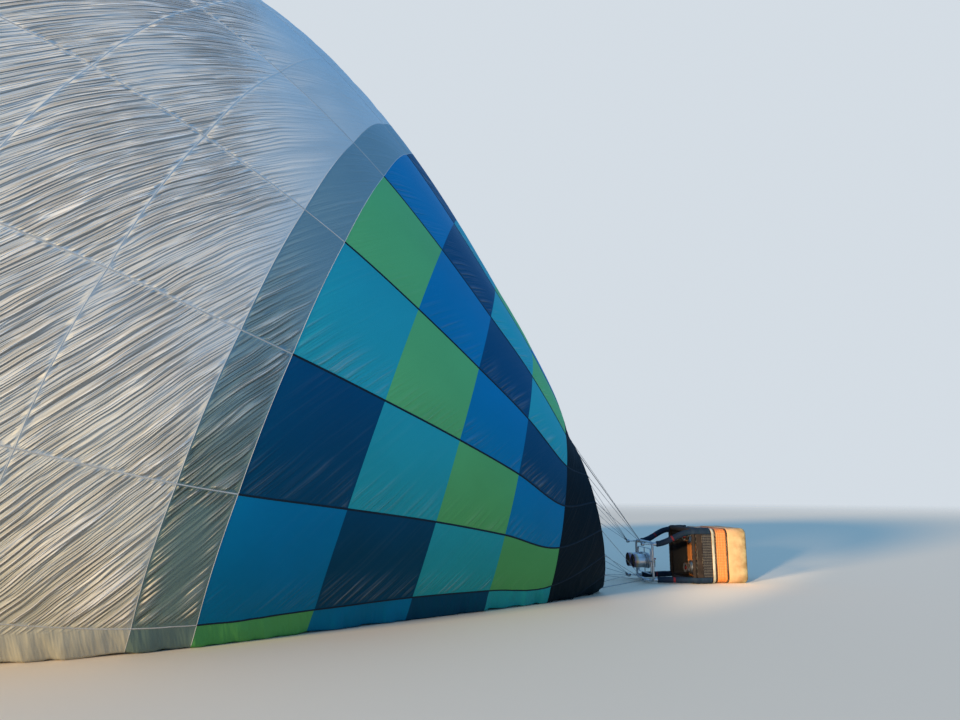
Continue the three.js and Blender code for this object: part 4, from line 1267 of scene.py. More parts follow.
def upright_path(sign_x, sign_y, share):
    """Points in the basket's own frame along the bent rod, from the rim to the burner frame."""
    inset = 0.3 * BASKET_CORNER + RIM_INSET
    foot = (sign_x * (BASKET_HALF[0] - inset), sign_y * (BASKET_HALF[1] - inset), BASKET_HEIGHT + SEAT_GAP)
    foot = np.array(foot)
    head = np.array(frame_corner(sign_x, sign_y)) - (0, 0, SOCKET_LENGTH)
    pull = np.array([0, 0, UPRIGHT_PULL])
    t = share[:, None]
    ends = (1 - t) ** 3 * foot + t**3 * head
    return ends + 3 * (1 - t) ** 2 * t * (foot + pull) + 3 * (1 - t) * t**2 * (head - pull)


def around_path(path, turns, radius):
    """Points on a tube along a path, with its sides turned to the basket's own axes."""
    tangents = np.gradient(path, axis=0)
    tangents /= np.linalg.norm(tangents, axis=1, keepdims=True)
    first = np.cross(tangents, (0, 1, 0))
    first /= np.linalg.norm(first, axis=1, keepdims=True)
    second = np.cross(tangents, first)
    ring = np.cos(turns)[None, :, None] * first[:, None] + np.sin(turns)[None, :, None] * second[:, None]
    points = path[:, None] + radius[..., None] * ring
    return from_basket(points[..., 0], points[..., 1], points[..., 2])


def make_upright(name, sign_x, sign_y):
    share = np.linspace(0.002, 0.998, COVER_STEPS)
    path = upright_path(sign_x, sign_y, share)
    lengths = np.append(0, np.cumsum(np.linalg.norm(np.diff(path, axis=0), axis=1)))
    turns = turns_of(COVER_SIDES)
    along, turn = np.meshgrid(lengths, turns, indexing="ij")
    strap = sum(np.exp(-((along / lengths[-1] - place) * lengths[-1] / STRAP_FADE) ** 2) for place in STRAPS)
    crease = lattice_noise(along / 0.035, turn * 1.4, SEEDS["covers"] + sign_x + 2 * sign_y)
    seam = np.exp(-((np.abs(turn - np.pi) / 0.12) ** 2))
    radius = 0.975 - STRAP_PINCH * np.clip(strap, 0, 1) + COVER_CREASE * crease + ZIP_RISE * seam
    radius = UPRIGHT_RADIUS * radius
    ends = smooth_step(np.minimum(along, lengths[-1] - along), 0.0, 0.016)
    radius = radius * (0.80 + 0.20 * ends)
    faces = grid_faces(COVER_STEPS, COVER_SIDES, closed=True)
    cover = mesh_piece(f"cover_{name}", around_path(path, turns, radius), faces)
    finish_piece(cover, "balloon", [f"upright_{name}"], [COVER_CLOTH])
    for k, place in enumerate(STRAPS):
        near = place + np.linspace(-1, 1, len(STRAP_LIFTS)) * STRAP_HALF / lengths[-1]
        band_path = upright_path(sign_x, sign_y, np.interp(near, lengths / lengths[-1], share))
        lift = np.array(STRAP_LIFTS)[:, None] * UPRIGHT_RADIUS
        ring = around_path(band_path, turns, np.broadcast_to(lift, (len(lift), COVER_SIDES)))
        faces = grid_faces(len(lift), COVER_SIDES, closed=True)
        strap_piece = mesh_piece(f"strap_{name}_{k + 1}", ring, faces)
        finish_piece(strap_piece, "balloon", materials=[RED_STRAP if k == 1 else DARK_TAPE])
    return cover


COVER_CLOTH = webbing_material("cover_cloth", (0.006, 0.016, 0.034), 0.8)
RED_STRAP = webbing_material("red_strap", (0.16, 0.012, 0.018), 0.7)
covers = [make_upright(name, *signs) for name, signs in CORNERS.items()]
print("uprights:", [piece.name for piece in covers])

# %% [markdown]
# The end of each padded cover folds over the rim and is tied down outside the corner of the wall. It
# is a flat pad that wraps round the corner, thick in the middle and thin at its edges, and its top
# leans in against the upright part, so that the two read as one cover.

# %% Cover tails
TAIL_ANGLES = {"lower": (34, 90), "upper": (9, 81)}  # degrees round the corner, from the short axis
TAIL_BOTTOM, TAIL_TOP = 0.735, 1.150
TAIL_OFFSET, TAIL_THICKNESS = 0.0088, 0.035
TAIL_STRAPS, TAIL_STRAP_HALF = (0.80, 0.965), 0.018
TAIL_STRAP_LIFTS = (0.72, 0.80, 0.81, 0.80, 0.72)  # across a strap, of the tail's thickness
TAIL_LEAN, TAIL_FADE, TAIL_PINCH, TAIL_CREASE = 0.050, 0.026, 0.22, 0.06
TAIL_ROWS, TAIL_SIDES = ((90, 40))


def tail_points(name, sign_x, sign_y, height, turn, lift):
    """Points of a tail at those heights and turns round its own section, lifted off by lift."""
    first, last = np.radians(TAIL_ANGLES[name.split("_")[0]])
    across = np.cos(turn)
    angle = (first + last) / 2 + across * (last - first) / 2
    leaning = smooth_step(height, BASKET_HEIGHT - 0.05, TAIL_TOP)
    proud = TAIL_THICKNESS * np.clip(np.sin(turn), 0, 1) ** 0.7 * lift
    offset = TAIL_OFFSET + proud - TAIL_LEAN * leaning
    radius = BASKET_CORNER + offset
    x = sign_x * (BASKET_HALF[0] - BASKET_CORNER + radius * np.cos(angle))
    y = sign_y * (BASKET_HALF[1] - BASKET_CORNER + radius * np.sin(angle))
    return from_basket(x, y, height)


def make_tail(name, sign_x, sign_y):
    heights = np.linspace(TAIL_BOTTOM, TAIL_TOP, TAIL_ROWS)
    turns = turns_of(TAIL_SIDES)
    height, turn = np.meshgrid(heights, turns, indexing="ij")
    pinched = sum(np.exp(-(((height - place) / TAIL_FADE) ** 2)) for place in TAIL_STRAPS)
    crease = lattice_noise(height / 0.03, turn * 1.5, SEEDS["tails"] + sign_x + 2 * sign_y)
    ends = smooth_step(height - TAIL_BOTTOM, 0.0, 0.025)
    lift = 0.93 - TAIL_PINCH * np.clip(pinched, 0, 1) + TAIL_CREASE * crease
    lift = (0.15 + 0.85 * ends) * lift
    points = tail_points(name, sign_x, sign_y, height, turn, lift)
    faces = grid_faces(TAIL_ROWS, TAIL_SIDES, closed=True)
    outwards = sign_x * sign_y > 0
    tail = mesh_piece(f"cover_tail_{name}", points, faces if outwards else faces[:, ::-1])
    finish_piece(tail, "balloon", [f"upright_tail_{name}"], [COVER_CLOTH])
    for k, place in enumerate(TAIL_STRAPS):
        near = place + np.linspace(-TAIL_STRAP_HALF, TAIL_STRAP_HALF, len(TAIL_STRAP_LIFTS))
        height, turn = np.meshgrid(near, turns, indexing="ij")
        ring = tail_points(name, sign_x, sign_y, height, turn, np.array(TAIL_STRAP_LIFTS)[:, None])
        faces = grid_faces(len(near), TAIL_SIDES, closed=True)
        strap = mesh_piece(f"tail_strap_{name}_{k + 1}", ring, faces if outwards else faces[:, ::-1])
        finish_piece(strap, "balloon", materials=[DARK_TAPE])
    return tail


tails = [make_tail(name, *signs) for name, signs in CORNERS.items()]
print("tails:", [piece.name for piece in tails])

# %% [markdown]
# The burner frame, the fuel cylinders and the burners are bare metal. Brushing leaves fine scratches
# along one direction, hands leave duller patches, and heat leaves straw and blue bands near the
# flame. One group gives the brushing and the patches, and each metal sets its own colour and scale.

# %% Metal materials
brushing, inside, outside = new_group(
    "brushing",
    [("Place", "Vector", None), ("Stretch", "Vector", (4.0, 300.0, 300.0))],
    [("Scratches", "Float"), ("Patches", "Float")],
)
long_place = stretch(brushing, inside["Place"], inside["Stretch"])
scratches = noise(brushing, long_place, 1.0, 3.0)
handled = noise(brushing, inside["Place"], 9.0, 5.0)
feed(brushing, outside["Scratches"], scratches)
feed(brushing, outside["Patches"], handled)

HEAT_START, HEAT_END = 8.62, 8.50  # along X, from clean metal to the lip of the can
HEAT_TINTS = [  # from straw to blue
    (0.45, (0.50, 0.38, 0.20)),
    (0.70, (0.26, 0.16, 0.20)),
    (0.95, (0.10, 0.12, 0.20)),
]


def metal_material(name, colour, dull, roughness, stretch=(4.0, 300.0, 300.0), heated=False):
    material, tree = new_material(name)
    place = object_place(tree)
    brushed = use_group(tree, brushing, {"Place": place, "Stretch": stretch})
    worn = remap(tree, brushed["Patches"], 0.4, 0.65)
    tint = colour_ramp(tree, worn, (0.0, colour), (1.0, dull))
    if heated:
        along = node(tree, "SeparateXYZ", {0: place}).outputs["X"]
        heat = remap(tree, along, HEAT_START, HEAT_END)
        uneven = times_and_add(tree, brushed["Patches"], 0.5, heat)
        tint = colour_ramp(tree, minus(tree, uneven, 0.25), (0.15, colour), *HEAT_TINTS)
    rough = times_and_add(tree, brushed["Scratches"], 0.16, roughness - 0.08)
    rough = times_and_add(tree, worn, 0.12, rough)
    bump = bump_from(tree, brushed["Scratches"], 0.25, 0.0006)
    return end_material(material, coat(tree, tint, rough, bump, metallic=1.0))


FRAME_METAL = metal_material("frame_metal", (0.46, 0.48, 0.50), (0.34, 0.35, 0.36), 0.34)
CYLINDER_METAL = metal_material(
    "cylinder_metal", (0.62, 0.63, 0.64), (0.46, 0.47, 0.48), 0.32, (300.0, 6.0, 6.0)
)
BURNER_METAL = metal_material("burner_metal", (0.52, 0.53, 0.54), (0.38, 0.38, 0.38), 0.3, heated=True)
CABLE_METAL = metal_material("cable_metal", (0.34, 0.35, 0.36), (0.22, 0.22, 0.22), 0.42, (90.0, 90.0, 90.0))
BRASS = metal_material("brass", (0.62, 0.42, 0.16), (0.40, 0.26, 0.10), 0.34)
print("metals: frame, cylinder, burner, cable, brass")

# %% Plain plastic and wood
def plain_material(name, colour, dull, roughness, stretch, depth):
    """A moulded or sawn surface: colour drift, fine grain and patchy shine."""
    material, tree = new_material(name)
    place = object_place(tree)
    grain = use_group(tree, brushing, {"Place": place, "Stretch": stretch})
    mixed = times_and_add(tree, grain["Scratches"], 0.6, times(tree, grain["Patches"], 0.4))
    tint = colour_ramp(tree, mixed, (0.35, colour), (0.65, dull))
    rough = times_and_add(tree, grain["Patches"], 0.25, roughness - 0.12)
    bump = bump_from(tree, grain["Scratches"], 0.4, depth)
    return end_material(material, coat(tree, tint, rough, bump))


WOOD_GRAIN, FINE_GRAIN = (60.0, 3.0, 60.0), (400.0, 400.0, 400.0)
BROWNS = (0.20, 0.11, 0.045), (0.36, 0.22, 0.10)
BLACKS = (0.012, 0.012, 0.013), (0.022, 0.022, 0.022)
REDS = (0.30, 0.012, 0.010), (0.20, 0.010, 0.008)

FLOOR_WOOD = plain_material("floor_wood", *BROWNS, 0.5, WOOD_GRAIN, 0.0015)
BLACK_GRIP = plain_material("black_grip", *BLACKS, 0.5, FINE_GRAIN, 0.0004)
RED_GRIP = plain_material("red_grip", *REDS, 0.45, FINE_GRAIN, 0.0003)


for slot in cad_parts["basket_floor"].material_slots:
    slot.material = FLOOR_WOOD
print("dressed: basket_floor, the one node of the frame that shows as it is")

# %% [markdown]
# Round metal parts are turned on a lathe. In Blender the same thing is a circle that is extruded
# and scaled, step by step, up the outline of the part. It needs nothing but three operators, and
# the outline stays a short list of radii and heights that can be read beside the real part.

# %% Turned parts
TO_FRAME = Matrix((
    (0, 0, -1, BASKET_FLOOR_X),
    (0, 1, 0, BASKET_CENTRE[0]),
    (1, 0, 0, BASKET_CENTRE[1]),
    (0, 0, 0, 1),
))
ROUND_SIDES = 56
SHARP_FROM = 35  # degrees, the least turn of an edge that stays sharp


def start_shape(name, add, **settings):
    """Adds a primitive with nothing else selected, and gives it its name."""
    bpy.ops.object.select_all(action="DESELECT")
    add(**settings)
    piece = bpy.context.object
    piece.name = name
    return piece


def apply_place():
    bpy.ops.object.transform_apply(location=True, rotation=True, scale=True)


def edit(action="SELECT"):
    """Enters edit mode with all of the mesh selected, or none of it."""
    bpy.ops.object.mode_set(mode="EDIT")
    bpy.ops.mesh.select_all(action=action)


def leave_edit():
    bpy.ops.object.mode_set(mode="OBJECT")


def edit_faces(piece, chosen):
    """Enters edit mode with only the faces selected for which chosen says so."""
    edit("DESELECT")
    leave_edit()
    for face in piece.data.polygons:
        face.select = chosen(face)
    bpy.ops.object.mode_set(mode="EDIT")


def face_outwards():
    """Turns every face outwards and leaves edit mode."""
    bpy.ops.mesh.select_all(action="SELECT")
    bpy.ops.mesh.normals_make_consistent(inside=False)
    leave_edit()


def apply_modifier(piece, kind, **settings):
    modifier = piece.modifiers.new("step", kind)
    for key, value in settings.items():
        setattr(modifier, key, value)
    bpy.ops.object.modifier_apply(modifier="step")


def smooth_over():
    bpy.ops.object.shade_smooth_by_angle(angle=math.radians(SHARP_FROM))


def turn_part(name, outline, sides=ROUND_SIDES, place=(0, 0)):
    """A turned solid in the basket's own frame, from radii and heights up its outline."""
    radius, height = outline[0]
    piece = start_shape(
        name, bpy.ops.mesh.primitive_circle_add,
        vertices=sides, radius=radius, fill_type="NGON", location=(*place, height),
    )
    edit()
    for next_radius, next_height in outline[1:]:
        bpy.ops.mesh.extrude_region_move(TRANSFORM_OT_translate={"value": (0, 0, next_height - height)})
        share = next_radius / radius
        bpy.ops.transform.resize(value=(share, share, 1))
        radius, height = next_radius, next_height
    face_outwards()
    apply_place()
    smooth_over()
    return piece


def raised(outline, height):
    return [(radius, height + rise) for radius, rise in outline]


def join_pieces(name, pieces):
    bpy.ops.object.select_all(action="DESELECT")
    for piece in pieces:
        piece.select_set(True)
    bpy.context.view_layer.objects.active = pieces[0]
    bpy.ops.object.join()
    pieces[0].name = name
    return pieces[0]


def placed_copy(piece, name, x, y):
    """A copy with its own mesh, moved in the basket's own frame and then laid into the frame."""
    copy = piece.copy()
    copy.data = piece.data.copy()
    copy.name = name
    bpy.context.scene.collection.objects.link(copy)
    copy.data.transform(TO_FRAME @ Matrix.Translation((x, y, 0)))
    return copy


print("turned parts have", ROUND_SIDES, "sides")

# %% Rods and rings
BEVEL_FROM = math.radians(60)
END_ROUNDING, BAR_ROUNDING = 0.18, 0.002  # of a rod's radius, and in metres


def rod_part(name, start, end, radius, sides=24):
    """A round rod between two points, with its end edges rounded."""
    start, end = Vector(start), Vector(end)
    piece = start_shape(
        name, bpy.ops.mesh.primitive_cylinder_add,
        vertices=sides, radius=radius, depth=(end - start).length, location=(start + end) / 2,
        rotation=(end - start).to_track_quat("Z", "Y").to_euler(),
    )
    apply_place()
    apply_modifier(piece, "BEVEL", width=radius * END_ROUNDING, segments=2, angle_limit=BEVEL_FROM)
    smooth_over()
    return piece


def ring_part(name, radius, wire, place, rotation=(0, 0, 0), segments=28, sides=10):
    piece = start_shape(
        name, bpy.ops.mesh.primitive_torus_add,
        major_radius=radius, minor_radius=wire, major_segments=segments, minor_segments=sides,
        location=place, rotation=rotation,
    )
    apply_place()
    bpy.ops.object.shade_smooth()
    return piece


def block_part(name, size, place, edge, panel=0.0, segments=3):
    """A block with rounded edges and, where panel is given, sunk panels on its four sides."""
    piece = start_shape(name, bpy.ops.mesh.primitive_cube_add, size=1, location=place)
    bpy.ops.transform.resize(value=size)
    apply_place()
    if panel:
        edit_faces(piece, lambda face: abs(face.normal.z) < 0.5)
        bpy.ops.mesh.select_mode(type="FACE")
        bpy.ops.mesh.inset(thickness=panel, use_individual=True)
        bpy.ops.mesh.inset(thickness=panel / 8, depth=-panel / 4, use_individual=True)
        bpy.ops.mesh.select_mode(type="VERT")
        leave_edit()
    apply_modifier(piece, "BEVEL", width=edge, segments=segments)
    smooth_over()
    return piece


crown_top = crown_point(np.array(0.0), 0.0, vent_height(CROWN_RING_RADIUS) + 0.010)
crown_turn = Vector(CROWN_OUT).to_track_quat("Z", "Y").to_euler()
crown_ring = ring_part("crown_ring", CROWN_RING_RADIUS, CROWN_RING_BAR, crown_top, crown_turn, 72)
finish_piece(crown_ring, "balloon", materials=[FRAME_METAL])
print("helpers for rods, rings and blocks, and the ring that the crown tapes meet in")

# %% [markdown]
# The burner frame, the gimbal ring and the yoke are bars bent to rounded rectangles. A section drawn
# at the start of one side is extruded along it and spun round the corner, four times over, as a real
# bar goes through a bending machine. On the flat bars a bevel then takes off the sharp edges.

# %% Bent bars
BEND_STEPS = 14
BAR_SIDES = 24
UPRIGHT_SECTION = (math.pi / 2, 0, 0)


def bent_loop(name, half, corner, place, radius=None, flat=None):
    """A closed loop of round bar of that radius, or of flat bar that wide and high."""
    straight = (half[0] - corner, half[1] - corner)
    start = (place[0] + half[0], place[1] - straight[1], place[2])
    add = bpy.ops.mesh.primitive_circle_add if radius else bpy.ops.mesh.primitive_plane_add
    size = {"vertices": BAR_SIDES, "radius": radius} if radius else {"size": 1}
    piece = start_shape(name, add, location=start, rotation=UPRIGHT_SECTION, **size)
    if flat:
        piece.scale = (*flat, 1)
    apply_place()
    edit()
    if flat:
        bpy.ops.mesh.delete(type="ONLY_FACE")
        bpy.ops.mesh.select_all(action="SELECT")
    for side, (sign_x, sign_y) in enumerate(((1, 1), (-1, 1), (-1, -1), (1, -1))):
        run = Matrix.Rotation(side * math.pi / 2, 3, "Z") @ Vector((0, 2 * straight[(side + 1) % 2], 0))
        if run.length > 1e-4:
            bpy.ops.mesh.extrude_region_move(TRANSFORM_OT_translate={"value": run})
        bend = (place[0] + sign_x * straight[0], place[1] + sign_y * straight[1], place[2])
        bpy.ops.mesh.spin(steps=BEND_STEPS, angle=-math.pi / 2, center=bend, axis=(0, 0, 1))
    bpy.ops.mesh.select_all(action="SELECT")
    bpy.ops.mesh.remove_doubles(threshold=1e-5)
    face_outwards()
    if flat:
        apply_modifier(piece, "BEVEL", width=BAR_ROUNDING, segments=2, angle_limit=BEVEL_FROM)
    smooth_over()
    return piece


def lay_down(name, parts):
    """Joins parts made in the upright basket's frame and lays them into the frame."""
    piece = join_pieces(name, parts)
    piece.data.transform(TO_FRAME)
    return piece


print("bent bars turn each corner in", BEND_STEPS, "steps")

# %% Burner frame
LOAD_TUBE = 0.020
SOCKET_OUTLINE = [
    # radius and height from the middle of the frame
    (0.031, -0.080), (0.034, -0.077), (0.034, -0.054), (0.032, -0.051),
    (0.032, -0.026), (0.034, -0.023), (0.034, -0.004), (0.030, 0.0),
]
LUG_OUTLINE = [(0.014, -0.002), (0.014, 0.026), (0.009, 0.034)]
EYE_RADIUS, EYE_WIRE, EYE_RISE = 0.0165, 0.0045, 0.050

parts = [bent_loop("burner_frame", FRAME_HALF, FRAME_CORNER, FRAME_CENTRE, radius=LOAD_TUBE)]
for signs in CORNERS.values():
    x, y, z = frame_corner(*signs)
    for outline in (SOCKET_OUTLINE, LUG_OUTLINE):
        parts.append(turn_part("socket", raised(outline, z), 24, (x, y)))
    parts.append(ring_part("eye", EYE_RADIUS, EYE_WIRE, (x, y, z + EYE_RISE), (math.pi / 2, 0, 0)))
burner_frame = lay_down("burner_frame", parts)
finish_piece(burner_frame, "balloon", ["load_frame"], [FRAME_METAL])
print("burner frame:", len(burner_frame.data.polygons), "faces")

# %% Gimbal ring and yoke
RING_HALF, RING_CORNER, RING_BAR = (0.231, 0.351), 0.050, (0.012, 0.030)
YOKE_HALF, YOKE_CORNER, YOKE_BAR = (0.1363, 0.2843), 0.1363, (0.012, 0.040)
PIN_RADIUS = 0.009

frame_x, _, frame_z = FRAME_CENTRE
parts = [bent_loop("gimbal_bar", RING_HALF, RING_CORNER, FRAME_CENTRE, flat=RING_BAR)]
for sign in (-1, 1):
    start, end = sign * RING_HALF[1], sign * (FRAME_HALF[1] - LOAD_TUBE - SEAT_GAP)
    parts.append(rod_part("pin", (frame_x, start, frame_z), (frame_x, end, frame_z), PIN_RADIUS))
finish_piece(lay_down("gimbal_bar", parts), "gimbal", ["gimbal_ring"], [FRAME_METAL])

parts = [bent_loop("yoke_bar", YOKE_HALF, YOKE_CORNER, FRAME_CENTRE, flat=YOKE_BAR)]
for sign in (-1, 1):
    start = frame_x + sign * (YOKE_HALF[0] - 0.002)
    end = frame_x + sign * (RING_HALF[0] - RING_BAR[0] / 2 - SEAT_GAP)
    parts.append(rod_part("pin", (start, 0, frame_z), (end, 0, frame_z), PIN_RADIUS))
finish_piece(lay_down("yoke_bar", parts), "burners", ["burner_yoke"], [FRAME_METAL])
print("gimbal ring and yoke, with four pins")

# %% [markdown]
# The wires of each quarter meet at one corner of the burner frame, in a steel link with a sleeve that
# locks it. Each wire ends in a pressed ferrule. The wires are tight, so straight rods with the twist
# of the strands in their finish look right, and nothing has to be draped.

# %% Flying wires
FIRST_WIRES = {"lower_near": 0, "lower_far": 15, "upper_near": 5, "upper_far": 10}
WIRE_RADIUS, FERRULE_RADIUS, FERRULE_LENGTH, FERRULE_INSET = 0.0035, 0.0075, 0.055, 0.02
TIE_REACH = 0.030  # from the middle of the drum to the start of a wire
LINK_HALF, LINK_CORNER, LINK_BAR = (0.048, 0.022), 0.018, 0.007
SLEEVE_HALF, SLEEVE_RADIUS = Vector((0.019, 0, 0)), 0.0098
LUG_REACH = 0.0463  # from the middle of the frame to the link
DRUM_RADIUS = 0.036
DRUM_OUTLINE = [
    (0.010, 0.0), (0.022, 0.003), (0.031, 0.012), (0.035, 0.026), (0.030, 0.031),
    (0.030, 0.041), (0.035, 0.046), (0.031, 0.060), (0.022, 0.069), (0.010, 0.072),
]
WIRE_PLACE = 0.015  # just inside the mouth binding, counted in sections

for corner, signs in CORNERS.items():
    x, y, z = frame_corner(*signs)
    drum = turn_part("drum", raised(DRUM_OUTLINE, z + LUG_REACH + 2 * LINK_HALF[0]), 32, (x, y))
    drum.data.transform(TO_FRAME)
    near = Vector(from_basket(x, y, z + LUG_REACH).tolist())
    middle = near - Vector((LINK_HALF[0] + LINK_BAR, 0, 0))
    tie = near - Vector((2 * LINK_HALF[0] + DRUM_RADIUS, 0, 0))
    link = bent_loop("link", LINK_HALF, LINK_CORNER, middle, radius=LINK_BAR)
    side = middle + Vector((0, -LINK_HALF[1], 0))
    sleeve = rod_part("sleeve", side - SLEEVE_HALF, side + SLEEVE_HALF, SLEEVE_RADIUS, 12)
    link = join_pieces(f"link_{corner}", [link, sleeve, drum])
    finish_piece(link, "balloon", materials=[FRAME_METAL])
    wires = []
    for k in range(GORES // 4):
        angle = np.array([FIRST_TAPE_ANGLE + (FIRST_WIRES[corner] + k) * GORE_ANGLE])
        end = Vector(base_points(np.array([WIRE_PLACE]), angle)[0].tolist())
        along = (end - tie).normalized()
        start, last = tie + along * TIE_REACH, end - along * FERRULE_INSET
        wires.append(rod_part("wire", start, end, WIRE_RADIUS, 8))
        for place in (start, last - along * FERRULE_LENGTH):
            wires.append(rod_part("ferrule", place, place + along * FERRULE_LENGTH, FERRULE_RADIUS, 12))
    fan = join_pieces(f"wires_{corner}", wires)
    finish_piece(fan, "balloon", [f"flying_wires_{corner}"], [CABLE_METAL])
print("wires:", len(CORNERS), "fans of", GORES // 4)

# %% [markdown]
# Each corner of the basket holds a fuel cylinder. It stands on a ring foot, is welded from two domed
# halves round a straight middle, and carries its valves inside a collar with hand holes. The valve is
# brass with a red hand wheel. Two belts go round each cylinder.

# %% Fuel cylinder
CYLINDER_FOOT = 0.0544
CYLINDER_TOP = CYLINDER_FOOT + 0.800
CYLINDER_RADIUS = 0.1385
CYLINDER_PLACES = {1: (-0.3, -0.4), 2: (-0.3, 0.4), 3: (0.3, -0.4), 4: (0.3, 0.4)}
WELD_RADIUS = 0.1400
DOME_RISE = 0.055
COLLAR_RADIUS, COLLAR_HEIGHT, COLLAR_WALL = 0.092, 0.090, 0.004
HAND_HOLE = (55, 125, 0.016)  # from and to degrees round on both sides, and half its height

dome = [(CYLINDER_RADIUS * math.cos(a), DOME_RISE * math.sin(a)) for a in np.radians([15, 32, 48, 62])]
shoulder = CYLINDER_TOP - 0.125
middle = (CYLINDER_FOOT + shoulder) / 2
body = turn_part("cylinder_body", [
    (0.105, CYLINDER_FOOT),
    (0.108, CYLINDER_FOOT + 0.004),
    (0.108, CYLINDER_FOOT + 0.040),
    (0.128, CYLINDER_FOOT + 0.052),
    (CYLINDER_RADIUS, CYLINDER_FOOT + 0.075),
    (CYLINDER_RADIUS, middle - 0.006),
    (WELD_RADIUS, middle - 0.003),
    (WELD_RADIUS, middle + 0.003),
    (CYLINDER_RADIUS, middle + 0.006),
    (CYLINDER_RADIUS, shoulder),
    *raised(dome, shoulder),
    (0.02, shoulder + DOME_RISE),
])
collar = start_shape(
    "collar", bpy.ops.mesh.primitive_cylinder_add,
    vertices=ROUND_SIDES, radius=COLLAR_RADIUS, depth=COLLAR_HEIGHT, end_fill_type="NOTHING",
    location=(0, 0, CYLINDER_TOP - COLLAR_HEIGHT / 2 - 0.001),
)


def in_hand_hole(face):
    turn = math.degrees(math.atan2(face.center.y, face.center.x)) % 180
    return HAND_HOLE[0] < turn < HAND_HOLE[1] and abs(face.center.z) < HAND_HOLE[2]


edit()
bpy.ops.mesh.subdivide(number_cuts=2)
leave_edit()
edit_faces(collar, in_hand_hole)
bpy.ops.mesh.delete(type="FACE")
leave_edit()
apply_place()
apply_modifier(collar, "SOLIDIFY", thickness=COLLAR_WALL)
smooth_over()
cylinder = join_pieces("fuel_cylinder", [body, collar])
print("cylinder:", len(cylinder.data.polygons), "faces")

# %% Cylinder valves
VALVE_OUTLINE = [
    (0.016, 0.0), (0.016, 0.014), (0.011, 0.018), (0.011, 0.034),
    (0.015, 0.036), (0.015, 0.042), (0.006, 0.044), (0.006, 0.050),
]
OUTLET_RADIUS, OUTLET_LENGTH, OUTLET_WALL, OUTLET_BORE = 0.008, 0.060, 0.003, 0.012
OUTLET_OUT, OUTLET_RISE = 0.034, 0.024
WHEEL_RADIUS, WHEEL_WIRE, WHEEL_RISE = 0.024, 0.0045, 0.052
SPOKE_LENGTH, SPOKE_WIDTH, SPOKE_HEIGHT, SPOKE_EDGE = 0.046, 0.006, 0.004, 0.001

valve_foot = CYLINDER_TOP - 0.072
stem = turn_part("stem", raised(VALVE_OUTLINE, valve_foot), 16)
outlet = start_shape(
    "outlet", bpy.ops.mesh.primitive_cylinder_add,
    vertices=14, radius=OUTLET_RADIUS, depth=OUTLET_LENGTH,
    location=(OUTLET_OUT, 0, valve_foot + OUTLET_RISE), rotation=(0, math.pi / 2, 0),
)
apply_place()
edit_faces(outlet, lambda face: face.normal.x > 0.9)
bpy.ops.mesh.inset(thickness=OUTLET_WALL)
bpy.ops.mesh.extrude_region_move(TRANSFORM_OT_translate={"value": (-OUTLET_BORE, 0, 0)})
leave_edit()
smooth_over()
valve = join_pieces("cylinder_valve", [stem, outlet])

wheel_place = (0, 0, valve_foot + WHEEL_RISE)
spoke_sizes = [(SPOKE_LENGTH, SPOKE_WIDTH, SPOKE_HEIGHT), (SPOKE_WIDTH, SPOKE_LENGTH, SPOKE_HEIGHT)]
hand_wheel = join_pieces("hand_wheel", [
    ring_part("rim", WHEEL_RADIUS, WHEEL_WIRE, wheel_place, segments=24, sides=8),
    *[block_part("spoke", size, wheel_place, SPOKE_EDGE, segments=2) for size in spoke_sizes],
])
smooth_over()
print("valve and wheel:", len(valve.data.polygons) + len(hand_wheel.data.polygons), "faces")

# %% Cylinders and belts in the basket
BELT_HEIGHTS = (0.25, 0.62)
BELT_WIDTH, BELT_ROWS, BELT_SIDES = 0.045, 7, 64
BELT_CLEAR, BELT_BOW = 0.0006, 0.0020


def belt_strip(x, y, height):
    """Points and faces of a belt round a cylinder, bowed a little across its width."""
    z = height + np.linspace(-BELT_WIDTH / 2, BELT_WIDTH / 2, BELT_ROWS)
    turn, z = np.meshgrid(turns_of(BELT_SIDES), z, indexing="xy")
    bowed = 1 - ((z - height) / (BELT_WIDTH / 2)) ** 4
    radius = CYLINDER_RADIUS + BELT_CLEAR + BELT_BOW * bowed
    points = from_basket(x + radius * np.cos(turn), y + radius * np.sin(turn), z)
    return points.reshape(-1, 3), grid_faces(BELT_ROWS, BELT_SIDES, closed=True)


for k, (x, y) in CYLINDER_PLACES.items():
    for part, name, stands_for, material in (
        (cylinder, "cylinder", [f"fuel_cylinder_{k}"], CYLINDER_METAL),
        (valve, "cylinder_valve", [], BRASS),
        (hand_wheel, "hand_wheel", [], RED_GRIP),
    ):
        copy = placed_copy(part, f"{name}_{k}", x, y)
        finish_piece(copy, "balloon", stands_for, [material])
    belts = [belt_strip(x, y, height) for height in BELT_HEIGHTS]
    finish_piece(join_strips(f"cylinder_belts_{k}", belts), "balloon", materials=[DARK_TAPE])
for piece in (cylinder, valve, hand_wheel):
    bpy.data.objects.remove(piece)
print("cylinders:", len(CYLINDER_PLACES), "with valves and belts")

# %% [markdown]
# Under each burner plate sits the valve block: a machined block, the hose inlet, the lever that the
# pilot squeezes for a blast of flame, and a small red knob for the pilot light. Each is a primitive
# that is scaled, inset and bevelled, because that is how such parts are milled and turned.

# %% Valve blocks
BURNER_SPACING = 0.148  # from the middle of the frame to each burner
BLOCK_SIZE = (0.110, 0.100, 0.120)
BOLT_OUT, BOLT_LENGTH = 0.105, 0.014
PLATE_OUTLINE = [(0.126, -0.006), (0.130, -0.004), (0.130, 0.004), (0.126, 0.006)]
STEM_OUTLINE = [
    (0.017, 0.0), (0.017, -0.010), (0.011, -0.013), (0.011, -0.026), (0.015, -0.029), (0.013, -0.034),
]
KNOB_OUTLINE = [
    (0.007, 0.0), (0.007, -0.016), (0.015, -0.018), (0.016, -0.024), (0.016, -0.036), (0.012, -0.039),
]

